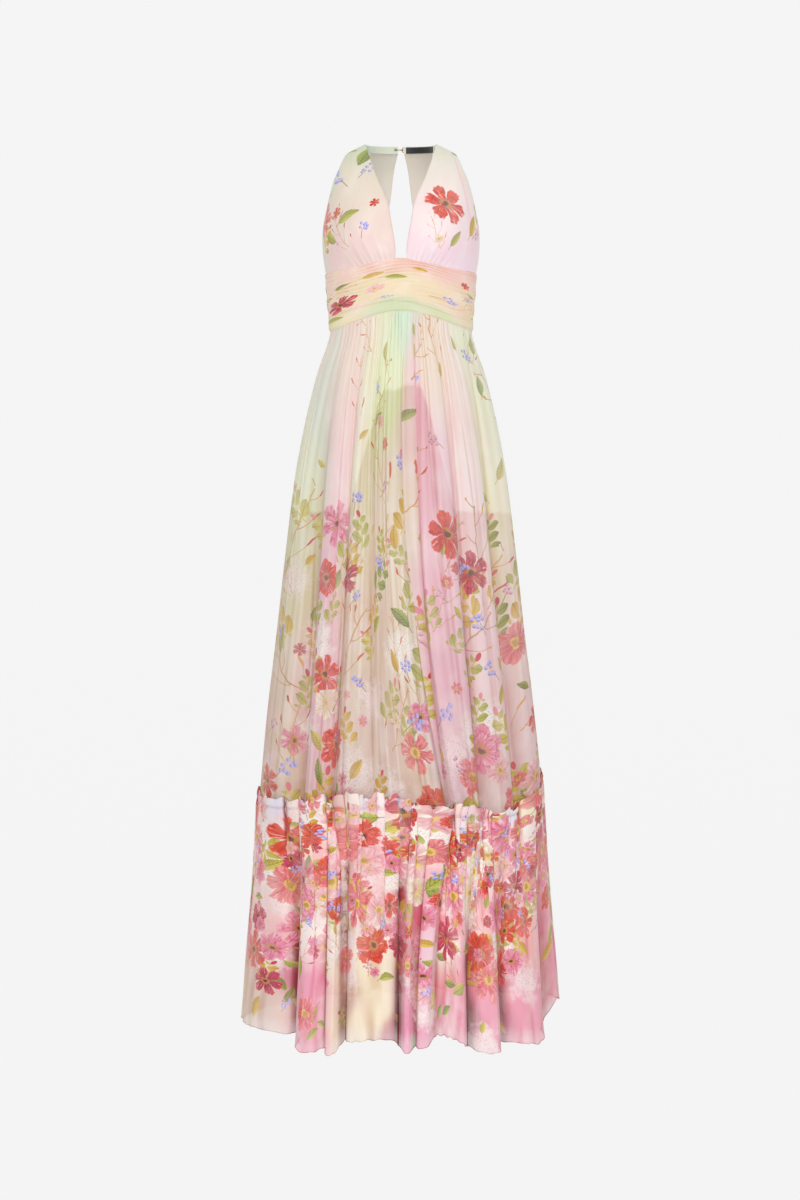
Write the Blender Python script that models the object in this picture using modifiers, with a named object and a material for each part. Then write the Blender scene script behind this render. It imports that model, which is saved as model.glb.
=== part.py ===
"""Halter-neck maxi dress in printed chiffon, at its real size, hanging from its neck.

Nobody wears the dress, but it keeps the form of a general figure. Two gathered front panels pass
over the shoulders, two back panels leave a keyhole between them, and a neck band closed by a hook
and eye joins the four. Below a draped waistband hang a short lining and a long gathered skirt, and
a deep flounce is gathered onto the skirt under its own small heading.

The dress faces -Y and +X is the wearer's left. The origin is the middle of the neck opening at the
height of the shoulders. Sizes are in millimetres and are scaled to metres once, in add_object.
A drop is a distance below the shoulders. An angle runs round the dress from the centre front, 0,
to the wearer's left side seam, 90, the centre back, 180, and the right side seam, 270 or -90.
"""

import math
from collections import namedtuple

import bpy
import numpy as np

MM = 0.001

CHIFFON = 1.2  # wall of the single cloths
DRAPED = 1.4  # wall of the waistband and the neck band, which are doubled cloths
SEAM_GAP = 0.4  # between two pieces that are sewn together
SEAM_STRIP = 2.5  # how far the cloth runs straight on from a seam
LEFT_SEAM, BACK = 90, 180

# The figure under the cloth, from the waistband down to the hem.
Girth = namedtuple("Girth", "drop half_width front back")
GIRTHS = (
    Girth(195, 126.5, 103, 84),
    Girth(216, 125, 99, 82),
    Girth(265, 121, 93, 80),
    Girth(305, 118.5, 91, 79),
    Girth(318, 119, 93, 82),
    Girth(334, 123, 98, 89),
    Girth(377, 138, 112, 106),
    Girth(428, 151.5, 126, 123),
    Girth(528, 171.5, 147, 147),
    Girth(680, 190.5, 170, 170),
    Girth(831, 206.5, 189, 188),
    Girth(932, 218.5, 200, 199),
    Girth(1083, 232, 215, 213),
    Girth(1234, 243, 227, 225),
    Girth(1385, 256, 240, 238),
    Girth(1478, 263, 247, 245),
)

# Waistband: its edges arch up at the centre front, and its cloth lies in folds along its length.
BAND_TOP_DROP, BAND_TOP_ARCH = 216, 13.6
BAND_FOOT_DROP, BAND_FOOT_ARCH = 313, 24
BAND_FOLDS, BAND_FOLD_DEPTH, BAND_FOLD_SLANT = 4, 3, 0.45
BAND_COLUMNS = 24

# Skirt and flounce: both are cut much wider than the figure and gathered along their top edges.
GATHERS, COLUMNS_A_GATHER = 24, 3
SKIRT_GATHER_DEPTH, FLOUNCE_GATHER_DEPTH = 3.4, 4.2
SKIRT_GATHER_FADE, FLOUNCE_GATHER_FADE = 5, 4  # how soon the gathers die out below the seam
HEADING_FULLNESS = 1.6  # how much deeper the gathers are in the heading than at its seam
SKIRT_ROWS = (0, 0.04, 0.12, 0.25, 0.42, 0.6, 0.8, 1)
SKIRT_MID = 0.47  # how far down the skirt the folds' middle places are given
FLOUNCE_ROWS = (0, 0.07, 0.2, 0.42, 0.68, 1)
HEM_DROP = 1470

# One row for each place where the skirt's cloth turns, out onto a ridge or in to a valley:
# cloth is the percentage of the cut width, the angles are at the waist, half way and the seam.
Fold = namedtuple("Fold", "cloth top_angle mid_angle seam_angle mid_out seam_out")
SKIRT_FRONT_FOLDS = (
    Fold(0, -90, -90, -90, 0, 0),
    Fold(5, -76, -75, -74, 4, 5),
    Fold(10, -62, -60, -57, 5, 8),
    Fold(16, -50, -46, -44, -9, -12),
    Fold(20, -41, -37, -38, 7, 9),
    Fold(24, -35, -33, -34, 3, 5),
    Fold(28, -30, -28.5, -30, -8, -11),
    Fold(34, -23, -22, -20, 4, 5),
    Fold(40, -16, -14, -9, -3, 6),
    Fold(46, -10, -8, 1, 5, 9),
    Fold(51, -4, -3.5, 9, 9, 12),
    Fold(54, 0, 0.5, 14.2, 3, 12),
    Fold(57, 3, 3, 17, -5, -1),
    Fold(60, 6, 6, 19, 3, -10),
    Fold(63, 9, 9.3, 21.2, -9, -12),
    Fold(68, 15, 14, 25, 8, 9),
    Fold(73, 22, 23, 29.5, 7, 7),
    Fold(76.5, 28, 29.5, 32.5, -9, -12),
    Fold(82, 37, 38, 41, 4, 8),
    Fold(86, 44, 46, 48, 3, 6),
    Fold(89.5, 51, 52, 53, -8, -10),
    Fold(94, 66, 67, 67, 5, 7),
    Fold(100, 90, 90, 90, 0, 0),
)
SKIRT_BACK_RIDGES, SKIRT_BACK_MID_OUT, SKIRT_BACK_SEAM_OUT = 7, 6.5, 10.5
BACK_FOLD_STRAY = 3  # degrees that a fold behind strays from an even place
BACK_SIZE_STRAY = 0.25

# The flounce's own folds at its hem. A hem that is longer hangs below HEM_DROP.
Wave = namedtuple("Wave", "cloth hem_angle hem_out longer")
FLOUNCE_FRONT_WAVES = (
    Wave(0, -90, 2, -4),
    Wave(4, -75, 6, -6),
    Wave(8.5, -57, 9, -8),
    Wave(11, -46, 4, -7),
    Wave(13, -41.8, -19, -6),
    Wave(16, -38, 8, 12),
    Wave(21, -31, 12, 15),
    Wave(25, -27.5, -2, 8),
    Wave(29, -24, 14, 17),
    Wave(33, -20.8, -18, -4),
    Wave(36, -17.5, 7, -4),
    Wave(40, -10, 10, -9),
    Wave(43.5, -3.8, 6, -9),
    Wave(46, -0.8, -20, -4),
    Wave(48.5, 2, 14, 15),
    Wave(51.5, 5, -8, -1),
    Wave(54.5, 8, 10, 4),
    Wave(58, 12, -4, -12),
    Wave(63, 17, 8, -12),
    Wave(68, 22.5, 8, 3),
    Wave(72, 25.8, -18, 6),
    Wave(76, 30, 12, 16),
    Wave(80, 36, 9, 15),
    Wave(82.5, 39, -14, 6),
    Wave(87, 46, 7, 8),
    Wave(92, 58, 9, 11),
    Wave(95, 70, -15, -5),
    Wave(100, 90, 3, -40),
)
FLOUNCE_BACK_RIDGES, FLOUNCE_BACK_OUT, FLOUNCE_BACK_LONGER = 9, 12.5, 7

# The seam between skirt and flounce dips and rises, and the heading above it leans out.
SeamPlace = namedtuple("SeamPlace", "angle drop lift lean")
SEAM = (
    SeamPlace(-90, 1087, 13, 5),
    SeamPlace(-45, 1096, 13, 6),
    SeamPlace(-8, 1090, 14, 5),
    SeamPlace(22, 1103, 8, 9),
    SeamPlace(45, 1107, 7, 10),
    SeamPlace(66, 1084, 11, 7),
    SeamPlace(90, 1060, 13, 5),
    SeamPlace(135, 1068, 13, 6),
    SeamPlace(180, 1080, 12, 6),
    SeamPlace(225, 1085, 13, 6),
    SeamPlace(270, 1087, 13, 5),
)

# Lining: a short slip inside the skirt, with a notch at the centre front.
LINING_TUCK = 5  # how far it reaches up behind the waistband
LINING_DROP, LINING_NOTCH, LINING_NOTCH_ANGLE = 620, 200, 33
LINING_EASE = 24  # how far inside the skirt its hem hangs
LINING_ROWS = (0, 0.12, 0.45, 1)
LINING_COLUMNS = 24

# Front panel of the wearer's left, from the waistband over the shoulder to the neck band. Each
# section runs from the neckline edge to the side seam or armhole edge, past a corner it bends to.
Section = namedtuple(
    "Section", "in_x in_y in_drop corner_x corner_y out_x out_y out_drop"
)
FRONT_SECTIONS = (
    Section(9, -108, 186, 120, -114, 130, 0, 184),
    Section(13, -111, 159, 122, -116, 131, 0, 151),
    Section(16.5, -110, 139, 119, -113, 129.5, -8, 139),
    Section(19.5, -107, 120, 113, -107, 125, -25, 120),
    Section(28, -98, 95, 104, -98, 118.5, -38, 93),
    Section(38, -85, 72, 96, -86, 111, -44, 68),
    Section(46, -68, 49, 90, -68, 102.5, -41, 47),
    Section(52, -49, 29, 84, -48, 96, -27, 29),
    Section(57, -25, 10, 80, -20, 91, -12, 18),
    Section(59.2, -5, 0, 76, -2, 88.5, 3, 14),
    Section(58, 14, 0, 70, 16, 79, 18, 11),
    Section(54.6, 24, 3, 60, 26, 64, 27, 8),
)
FRONT_COLUMNS = 21
BUST_X, BUST_DROP, BUST_SPREAD_X, BUST_SPREAD_DROP, BUST_RISE = 72, 152, 40, 40, 13
BUST_SIDEWAYS = 0.25  # how far the cup's cloth moves out sideways for each unit that it rises
BUST_GATHERS, BUST_GATHER_DEPTH, BUST_GATHER_REACH = 7, 3.6, 34
FRONT_EDGE_ANGLE = 4.6  # where the neckline edge meets the waistband

# Back panel of the wearer's left, from the waistband to the neck band.
BACK_SECTIONS = (
    Section(33, 84, 186, 116, 90, 130, 0, 184),
    Section(29.5, 88, 158, 118, 94, 131, 0, 151),
    Section(26, 90, 133, 113, 96, 129.5, 8, 139),
    Section(22, 90, 104, 97, 95, 110, 44, 107),
    Section(17, 84, 70, 74, 86, 87, 56, 73),
    Section(12.5, 70, 36, 50, 70, 66, 50, 40),
)
BACK_COLUMNS = 8
SIDE_SEAM_ROWS = 4  # rows of a bodice panel that end at the side seam, not at the armhole
KEYHOLE_FOOT_ANGLE = 163  # where the keyhole's edge meets the waistband

# Neck band: half an oval behind the neck, from each front panel's top to the hook and eye.
NECK_HALF_WIDTH, NECK_BACK = 57.3, 47
NECK_HEIGHT, NECK_BACK_RISE = 13, 5.4
NECK_END_GAP = 5  # from each end of the band to the centre back
NECK_FRONT_ANGLE = 83
NECK_COLUMNS = 14
STRAP_FOOT_ANGLE = 118  # where the back panel's armhole edge meets the neck band

LABEL_LENGTH, LABEL_HEIGHT, LABEL_WALL = 52, 9, 1
LABEL_MIDDLE_ANGLE, LABEL_COLUMNS = 138, 8

WIRE = 1.0  # hook and eye
HOOK_DROP, EYE_HALF_HEIGHT, EYE_X = 1, 3.5, 2.4


def column(table, name):
    """One named column of a table, as an array."""
    return np.array([getattr(row, name) for row in table], float)


def through(knots, values, at):
    """Reads the smooth curve that passes through the values at the knots."""
    slopes = np.gradient(values, knots)
    i = np.clip(np.searchsorted(knots, at) - 1, 0, len(knots) - 2)
    step = knots[i + 1] - knots[i]
    s = (at - knots[i]) / step
    return (
        values[i] * (1 + 2 * s) * (1 - s) ** 2
        + values[i + 1] * s**2 * (3 - 2 * s)
        + step * (slopes[i] * s * (1 - s) ** 2 - slopes[i + 1] * s**2 * (1 - s))
    )


def read(table, key, name, at):
    """A named column of a table, read smoothly against its key column."""
    return through(column(table, key), column(table, name), at)


def cosine(angle):
    return np.cos(np.radians(angle))


def sine(angle):
    return np.sin(np.radians(angle))


def oval(angle, half_width, depth, out):
    """Points of an oval seen from above, moved out along its own normals."""
    x, y = half_width * sine(angle), -depth * cosine(angle)
    normal_x, normal_y = sine(angle) / half_width, -cosine(angle) / depth
    length = np.hypot(normal_x, normal_y)
    return x + out * normal_x / length, y + out * normal_y / length


def girth_point(angle, drop, out):
    """Points on the figure at an angle and a drop, moved out from it."""
    half_width = read(GIRTHS, "drop", "half_width", drop)
    front = read(GIRTHS, "drop", "front", drop)
    back = read(GIRTHS, "drop", "back", drop)
    x, y = oval(angle, half_width, np.where(cosine(angle) > 0, front, back), out)
    return np.stack([x, y, -drop + 0 * x], axis=-1)


def arch(angle, power):
    """1 at the centre front, falling to 0 at the side seams and round the back."""
    return np.maximum(cosine(angle), 0) ** power


def band_top(angle):
    return BAND_TOP_DROP - BAND_TOP_ARCH * arch(angle, 6)


def band_foot(angle):
    return BAND_FOOT_DROP - BAND_FOOT_ARCH * arch(angle, 4)


def at_side_seams(grid, side):
    """Ends a front's or a back's grid straight at the side seams: side is -1 in front, 1 behind."""
    edges = grid[:, (0, -1)]
    edges[:, :, 1] = side * SEAM_GAP / 2
    strips = edges + (0, side * SEAM_STRIP, 0)
    columns = [edges[:, :1], strips[:, :1], grid[:, 1:-1], strips[:, 1:], edges[:, 1:]]
    return np.concatenate(columns, axis=1)


def upright_strip(row, way):
    """The row a little way from a seam, straight above it where way is 1 and below it where -1."""
    return row + (0, 0, way * SEAM_STRIP)


def moved_out(row, distance):
    """A row of points moved out of the cloth, square to its own line seen from above."""
    along = np.gradient(row[:, :2], axis=0)
    along /= np.linalg.norm(along, axis=1)[:, None]
    out = np.stack([along[:, 1], -along[:, 0], 0 * along[:, 0]], axis=-1)
    return row + out * np.reshape(distance, (-1, 1))


def add_object(name, grid, wall, material):
    """Makes a grid of points, with rows from top to bottom, into a closed wall of cloth."""
    rows, columns = grid.shape[:2]
    corners = np.arange(rows * columns).reshape(rows, columns)
    quads = np.stack(
        [corners[:-1, :-1], corners[1:, :-1], corners[1:, 1:], corners[:-1, 1:]],
        axis=-1,
    )
    mesh = bpy.data.meshes.new(name)
    mesh.from_pydata((grid.reshape(-1, 3) * MM).tolist(), [], quads.reshape(-1, 4).tolist())
    mesh.shade_smooth()
    mesh.materials.append(material)
    cloth = bpy.data.objects.new(name, mesh)
    dress.objects.link(cloth)
    solidify = cloth.modifiers.new("wall", "SOLIDIFY")
    solidify.thickness = wall * MM
    solidify.offset = 1


def new_material(name, colour, roughness, metallic=0.0):
    material = bpy.data.materials.new(name)
    material.use_nodes = True
    shader = material.node_tree.nodes["Principled BSDF"]
    shader.inputs["Base Color"].default_value = (*colour, 1)
    shader.inputs["Roughness"].default_value = roughness
    shader.inputs["Metallic"].default_value = metallic
    return material


def gather(cloth_share):
    """Small waves along a gathered edge: 0 where the cloth is sewn down, 1 where it puffs out."""
    return 0.5 - 0.5 * np.cos(2 * math.pi * GATHERS * cloth_share)


def uneven(i, phase):
    """Between -1 and 1, and different from fold to fold."""
    return math.sin(2.1 * i + phase)


def back_folds():
    """The skirt's folds behind, spaced nearly evenly."""
    folds = []
    turns = 2 * SKIRT_BACK_RIDGES
    for i in range(turns + 1):
        inner = 0 < i < turns
        way = -math.cos(math.pi * i) * inner
        stray = BACK_FOLD_STRAY * inner
        angle = LEFT_SEAM + 180 * i / turns + stray * uneven(i, 0)
        folds.append(
            Fold(
                cloth=100 * i / turns,
                top_angle=angle,
                mid_angle=angle + stray / 2 * uneven(i, 1),
                seam_angle=angle + stray * uneven(i, 2),
                mid_out=way * SKIRT_BACK_MID_OUT * (1 + BACK_SIZE_STRAY * uneven(i, 3)),
                seam_out=way * SKIRT_BACK_SEAM_OUT * (1 + BACK_SIZE_STRAY * uneven(i, 4)),
            )
        )
    return tuple(folds)


def back_waves():
    """The flounce's folds behind, whose ends meet those in front at the side seams."""
    waves = []
    turns = 2 * FLOUNCE_BACK_RIDGES
    right, left = FLOUNCE_FRONT_WAVES[0], FLOUNCE_FRONT_WAVES[-1]
    for i in range(turns + 1):
        share = i / turns
        inner = 0 < i < turns
        end_out = 0 if inner else left.hem_out + (right.hem_out - left.hem_out) * share
        way = -math.cos(math.pi * i) * inner
        level = left.longer + (right.longer - left.longer) * math.sin(share * math.pi / 2)
        size = way * FLOUNCE_BACK_OUT * (1 + BACK_SIZE_STRAY * uneven(i, 2))
        waves.append(
            Wave(
                cloth=100 * share,
                hem_angle=LEFT_SEAM + 180 * share + BACK_FOLD_STRAY * uneven(i, 1) * inner,
                hem_out=end_out + size,
                longer=level + way * FLOUNCE_BACK_LONGER,
            )
        )
    return tuple(waves)


def cloth_shares():
    """The columns of the skirt and the flounce, as shares of the cut width."""
    return np.linspace(0, 1, GATHERS * COLUMNS_A_GATHER + 1)


def skirt_place(folds, cloth_share, down):
    """The angle, and how far out, the skirt's cloth lies at a share of the way down."""
    top, mid, seam, mid_out, seam_out = (
        read(folds, "cloth", name, 100 * cloth_share) for name in Fold._fields[1:]
    )
    if down < SKIRT_MID:
        share = down / SKIRT_MID
        return top + (mid - top) * share, mid_out * share
    share = (down - SKIRT_MID) / (1 - SKIRT_MID)
    return mid + (seam - mid) * share, mid_out + (seam_out - mid_out) * share


def skirt_grid(folds):
    shares = cloth_shares()
    rows = []
    for down in SKIRT_ROWS:
        angle, out = skirt_place(folds, shares, down)
        top = band_foot(angle) + SEAM_GAP
        drop = top + (read(SEAM, "angle", "drop", angle) - top) * down
        puff = SKIRT_GATHER_DEPTH * gather(shares) * math.exp(-SKIRT_GATHER_FADE * down)
        rows.append(girth_point(angle, drop, out + puff))
    rows.insert(1, upright_strip(rows[0], -1))
    return np.array(rows)


def flounce_grid(folds, waves):
    """The flounce from its heading to its hem. Its seam row lies on the skirt's lowest row."""
    shares = cloth_shares()
    seam_angle, seam_out = skirt_place(folds, shares, 1)
    seam_drop = read(SEAM, "angle", "drop", seam_angle)
    puff = FLOUNCE_GATHER_DEPTH * gather(shares)
    on_skirt = CHIFFON + 2 * SEAM_GAP
    lift, lean = (read(SEAM, "angle", name, seam_angle) for name in ("lift", "lean"))
    heading_out = seam_out + lean + HEADING_FULLNESS * puff
    heading = girth_point(seam_angle, seam_drop - lift, heading_out)
    rows = [moved_out(heading, on_skirt)]
    hem_angle, hem_out, longer = (
        read(waves, "cloth", name, 100 * shares)
        for name in ("hem_angle", "hem_out", "longer")
    )
    for down in FLOUNCE_ROWS:
        turned = down * (2 - down)
        angle = seam_angle + (hem_angle - seam_angle) * turned
        out = seam_out + (hem_out - seam_out) * turned
        drop = seam_drop + (HEM_DROP + longer - seam_drop) * down
        fade = math.exp(-FLOUNCE_GATHER_FADE * down)
        rows.append(moved_out(girth_point(angle, drop, out + puff * fade), on_skirt * fade))
    return np.array(rows)


def lining_grid(first_angle, last_angle):
    """The slip inside the skirt, from behind the waistband down to its notched hem."""
    angle = np.linspace(first_angle, last_angle, LINING_COLUMNS + 1)
    notch = 0.5 + 0.5 * np.cos(np.pi * np.clip(angle / LINING_NOTCH_ANGLE, -1, 1))
    hem = LINING_DROP - LINING_NOTCH * notch
    top = band_foot(angle) - LINING_TUCK
    inside = -(CHIFFON + SEAM_GAP)
    rows = [
        girth_point(angle, top + (hem - top) * down, inside - LINING_EASE * down)
        for down in LINING_ROWS
    ]
    rows.insert(1, rows[0] - (0, 0, LINING_TUCK + SEAM_STRIP))
    return np.array(rows)


def band_grid(first_angle, last_angle):
    """The waistband, whose folds run along it and slant a little across the front."""
    angle = np.linspace(first_angle, last_angle, BAND_COLUMNS + 1)
    slant = BAND_FOLD_SLANT * sine(angle) * arch(angle, 1)
    rows = []
    steps = 2 * BAND_FOLDS
    for step in range(steps + 1):
        down = step / steps
        drop = band_top(angle) + (band_foot(angle) - band_top(angle)) * down
        turn = BAND_FOLDS * down + slant * math.sin(math.pi * down)
        fold = BAND_FOLD_DEPTH * (0.5 - 0.5 * np.cos(2 * math.pi * turn))
        rows.append(girth_point(angle, drop, fold))
    rows.insert(1, upright_strip(rows[0], -1))
    rows.insert(-1, upright_strip(rows[-1], 1))
    return np.array(rows)


def bend(section, share):
    """Points along a section, from its inner edge past its corner to its outer edge."""
    inner = np.array([section.in_x, section.in_y, -section.in_drop])
    outer = np.array([section.out_x, section.out_y, -section.out_drop])
    corner_z = (inner[2] + outer[2]) / 2
    corner = np.array([section.corner_x, section.corner_y, corner_z])
    s = share[:, None]
    return inner * (1 - s) ** 2 + 2 * corner * s * (1 - s) + outer * s**2


def bust_rise(points):
    """How far the cup stands out at each point of a front panel."""
    across = (points[:, 0] - BUST_X) / BUST_SPREAD_X
    down = (-points[:, 2] - BUST_DROP) / BUST_SPREAD_DROP
    return BUST_RISE * np.exp(-(across**2) - down**2)


def front_panel_grid():
    """The wearer's left front panel, from its end behind the shoulder down to the waistband."""
    share = np.linspace(0, 1, FRONT_COLUMNS + 1)
    foot_angle = FRONT_EDGE_ANGLE + (LEFT_SEAM - FRONT_EDGE_ANGLE) * share
    foot = girth_point(foot_angle, band_top(foot_angle) - SEAM_GAP, 0)
    rows = [bend(section, share) for section in reversed(FRONT_SECTIONS)] + [foot]
    wave = 0.5 + 0.5 * np.cos(2 * math.pi * BUST_GATHERS * share)
    for row in rows:
        height = -band_top(foot_angle) - row[:, 2]
        near_band = np.exp(-((height / BUST_GATHER_REACH) ** 2))
        puff = BUST_GATHER_DEPTH * wave * near_band * (1 - share**4)
        rise = bust_rise(row) * (1 - share**3)
        row[:, 0] += rise * BUST_SIDEWAYS
        row[:, 1] -= rise + puff
    rows.insert(-1, upright_strip(foot, 1))
    grid = np.array(rows)
    grid[-SIDE_SEAM_ROWS:, -1, 1] = -SEAM_GAP / 2
    return grid


def back_panel_grid():
    """The wearer's left back panel, from the neck band down to the waistband."""
    share = np.linspace(0, 1, BACK_COLUMNS + 1)
    foot_angle = KEYHOLE_FOOT_ANGLE + (LEFT_SEAM - KEYHOLE_FOOT_ANGLE) * share
    foot = girth_point(foot_angle, band_top(foot_angle) - SEAM_GAP, 0)
    first, last = neck_end_angle(), STRAP_FOOT_ANGLE
    top = neck_point(first + (last - first) * share, NECK_HEIGHT + SEAM_GAP, 0)
    rows = [bend(section, share) for section in reversed(BACK_SECTIONS)]
    rows = [top, upright_strip(top, -1)] + rows + [upright_strip(foot, 1), foot]
    grid = np.array(rows)
    grid[-SIDE_SEAM_ROWS:, -1, 1] = SEAM_GAP / 2
    return grid[:, ::-1]


def neck_end_angle():
    """The angle at which the neck band stops short of the centre back."""
    return BACK - math.degrees(math.asin(NECK_END_GAP / NECK_HALF_WIDTH))


def neck_point(angle, below_top, out):
    """Points of the neck band's inner face, at a distance below its top edge."""
    x, y = oval(angle, NECK_HALF_WIDTH, NECK_BACK, out)
    rise = NECK_BACK_RISE * np.maximum(-cosine(angle), 0)
    return np.stack([x, y, rise - below_top + 0 * x], axis=-1)


def neck_band_grid():
    angle = np.linspace(NECK_FRONT_ANGLE, neck_end_angle(), NECK_COLUMNS + 1)
    return np.array([neck_point(angle, below, 0) for below in (0, NECK_HEIGHT)])


def label_grid():
    """A plain label lying on the inner face of the wearer's left half of the neck band."""
    half_angle = math.degrees(LABEL_LENGTH / (NECK_HALF_WIDTH + NECK_BACK))
    first, last = LABEL_MIDDLE_ANGLE - half_angle, LABEL_MIDDLE_ANGLE + half_angle
    angle = np.linspace(first, last, LABEL_COLUMNS + 1)
    margin = (NECK_HEIGHT - LABEL_HEIGHT) / 2
    inside = -(LABEL_WALL + SEAM_GAP)
    edges = (margin, margin + LABEL_HEIGHT)
    return np.array([neck_point(angle, below, inside) for below in edges])


def mirrored(grid):
    """The same panel for the wearer's right side, still facing out."""
    return grid[:, ::-1] * (-1, 1, 1)


def add_wire(name, points, material):
    """A bent wire through the points, with closed ends."""
    curve = bpy.data.curves.new(name, "CURVE")
    curve.dimensions = "3D"
    curve.bevel_depth = WIRE / 2 * MM
    curve.bevel_resolution = 1
    curve.use_fill_caps = True
    spline = curve.splines.new("POLY")
    spline.points.add(len(points) - 1)
    for place, point in zip(spline.points, points):
        place.co = (*(value * MM for value in point), 1)
    curve.materials.append(material)
    dress.objects.link(bpy.data.objects.new(name, curve))


def add_hook_and_eye(material):
    """The eye is a bar on the left half's end, and the right half's hook turns round it."""
    y = NECK_BACK + DRAPED / 2
    middle = NECK_BACK_RISE - NECK_HEIGHT / 2 + HOOK_DROP
    end_x = NECK_END_GAP - SEAM_GAP
    high, low = middle + EYE_HALF_HEIGHT, middle - EYE_HALF_HEIGHT
    eye = [(end_x, y, high), (EYE_X, y, high), (EYE_X, y, low), (end_x, y, low)]
    add_wire("neck_eye", eye, material)
    turn = WIRE + SEAM_GAP
    turns = np.radians(np.linspace(-90, 90, 7))
    hook = [(-end_x, y - turn, middle)]
    hook += [(EYE_X + turn * math.cos(a), y + turn * math.sin(a), middle) for a in turns]
    hook += [(EYE_X - 3 * WIRE, y + turn, middle)]
    add_wire("neck_hook", hook, material)


for old in list(bpy.data.objects):
    bpy.data.objects.remove(old)
dress = bpy.data.collections.new("halter_maxi_dress")
bpy.context.scene.collection.children.link(dress)

print_cloth = new_material("printed_chiffon", (0.93, 0.8, 0.76), 0.75)
border_cloth = new_material("border_printed_chiffon", (0.9, 0.62, 0.62), 0.75)
band_cloth = new_material("draped_chiffon", (0.93, 0.84, 0.7), 0.75)
slip_cloth = new_material("lining", (0.93, 0.88, 0.84), 0.8)
label_cloth = new_material("label_ribbon", (0.02, 0.02, 0.02), 0.6)
metal = new_material("gold_wire", (0.8, 0.6, 0.25), 0.3, 1.0)

front_panel, back_panel = front_panel_grid(), back_panel_grid()
add_object("bodice_front_left", front_panel, CHIFFON, print_cloth)
add_object("bodice_front_right", mirrored(front_panel), CHIFFON, print_cloth)
add_object("bodice_back_left", back_panel, CHIFFON, print_cloth)
add_object("bodice_back_right", mirrored(back_panel), CHIFFON, print_cloth)

neck_band = neck_band_grid()
add_object("neck_band_left", neck_band, DRAPED, band_cloth)
add_object("neck_band_right", mirrored(neck_band), DRAPED, band_cloth)
add_object("neck_label", label_grid(), LABEL_WALL, label_cloth)
add_hook_and_eye(metal)

folds_behind = back_folds()
waves_behind = back_waves()
for side, place, first, folds, waves in (
    (-1, "front", -LEFT_SEAM, SKIRT_FRONT_FOLDS, FLOUNCE_FRONT_WAVES),
    (1, "back", LEFT_SEAM, folds_behind, waves_behind),
):
    band = at_side_seams(band_grid(first, first + 180), side)
    add_object("waistband_" + place, band, DRAPED, band_cloth)
    lining = at_side_seams(lining_grid(first, first + 180), side)
    add_object("lining_" + place, lining, CHIFFON, slip_cloth)
    skirt = at_side_seams(skirt_grid(folds), side)
    add_object("skirt_" + place, skirt, CHIFFON, print_cloth)
    flounce = at_side_seams(flounce_grid(folds, waves), side)
    add_object("flounce_" + place, flounce, CHIFFON, border_cloth)
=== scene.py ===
"""The looks of a halter-neck maxi dress in printed chiffon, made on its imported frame.

The sections follow the dress from the inside out: lining, skirt, flounce, waistband, bodice, neck
band, label, hook and eye. Each piece has the form of its solid and the finer folds of real cloth.

Sizes are in millimetres and are scaled to metres once, where a mesh is made. A drop is a distance
below the shoulders. An angle runs round the dress from the centre front, 0, to the wearer's left
side seam, 90, the centre back, 180, and the right side seam, 270 or -90.
"""

import math
from collections import namedtuple

import bpy
import numpy as np
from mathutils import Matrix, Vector


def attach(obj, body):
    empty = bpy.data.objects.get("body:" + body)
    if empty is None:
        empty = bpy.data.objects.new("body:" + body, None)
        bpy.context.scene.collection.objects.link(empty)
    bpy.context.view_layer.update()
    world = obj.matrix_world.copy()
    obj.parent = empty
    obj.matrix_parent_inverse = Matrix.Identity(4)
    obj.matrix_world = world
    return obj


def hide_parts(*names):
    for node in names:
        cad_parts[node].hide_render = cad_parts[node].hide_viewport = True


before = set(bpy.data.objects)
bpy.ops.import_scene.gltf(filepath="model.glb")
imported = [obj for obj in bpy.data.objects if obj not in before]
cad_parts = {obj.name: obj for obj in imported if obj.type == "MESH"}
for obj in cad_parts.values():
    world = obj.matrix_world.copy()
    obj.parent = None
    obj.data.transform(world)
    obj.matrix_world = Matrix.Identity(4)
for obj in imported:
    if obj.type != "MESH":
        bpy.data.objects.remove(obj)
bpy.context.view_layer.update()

# ------------------------------------------------------------
# Lining. A short slip of plain light cloth, a front and a back, that hangs inside the skirt from
# the waistband's seam. Its front hem is cut up in an arch, and it shows through the chiffon.
# ------------------------------------------------------------

MM = 0.001
LEFT_SEAM = 90

# The figure under the cloth, from the waistband down to the hem.
Girth = namedtuple("Girth", "drop half_width front back")
GIRTHS = (
    Girth(195, 126.5, 103, 84),
    Girth(216, 125, 99, 82),
    Girth(265, 121, 93, 80),
    Girth(305, 118.5, 91, 79),
    Girth(318, 119, 93, 82),
    Girth(334, 123, 98, 89),
    Girth(377, 138, 112, 106),
    Girth(428, 151.5, 126, 123),
    Girth(528, 171.5, 147, 147),
    Girth(680, 190.5, 170, 170),
    Girth(831, 206.5, 189, 188),
    Girth(932, 218.5, 200, 199),
    Girth(1083, 232, 215, 213),
    Girth(1234, 243, 227, 225),
    Girth(1385, 256, 240, 238),
    Girth(1478, 263, 247, 245),
)
BAND_TOP_DROP, BAND_TOP_ARCH = 216, 13.6
BAND_FOOT_DROP, BAND_FOOT_ARCH = 313, 24

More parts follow.
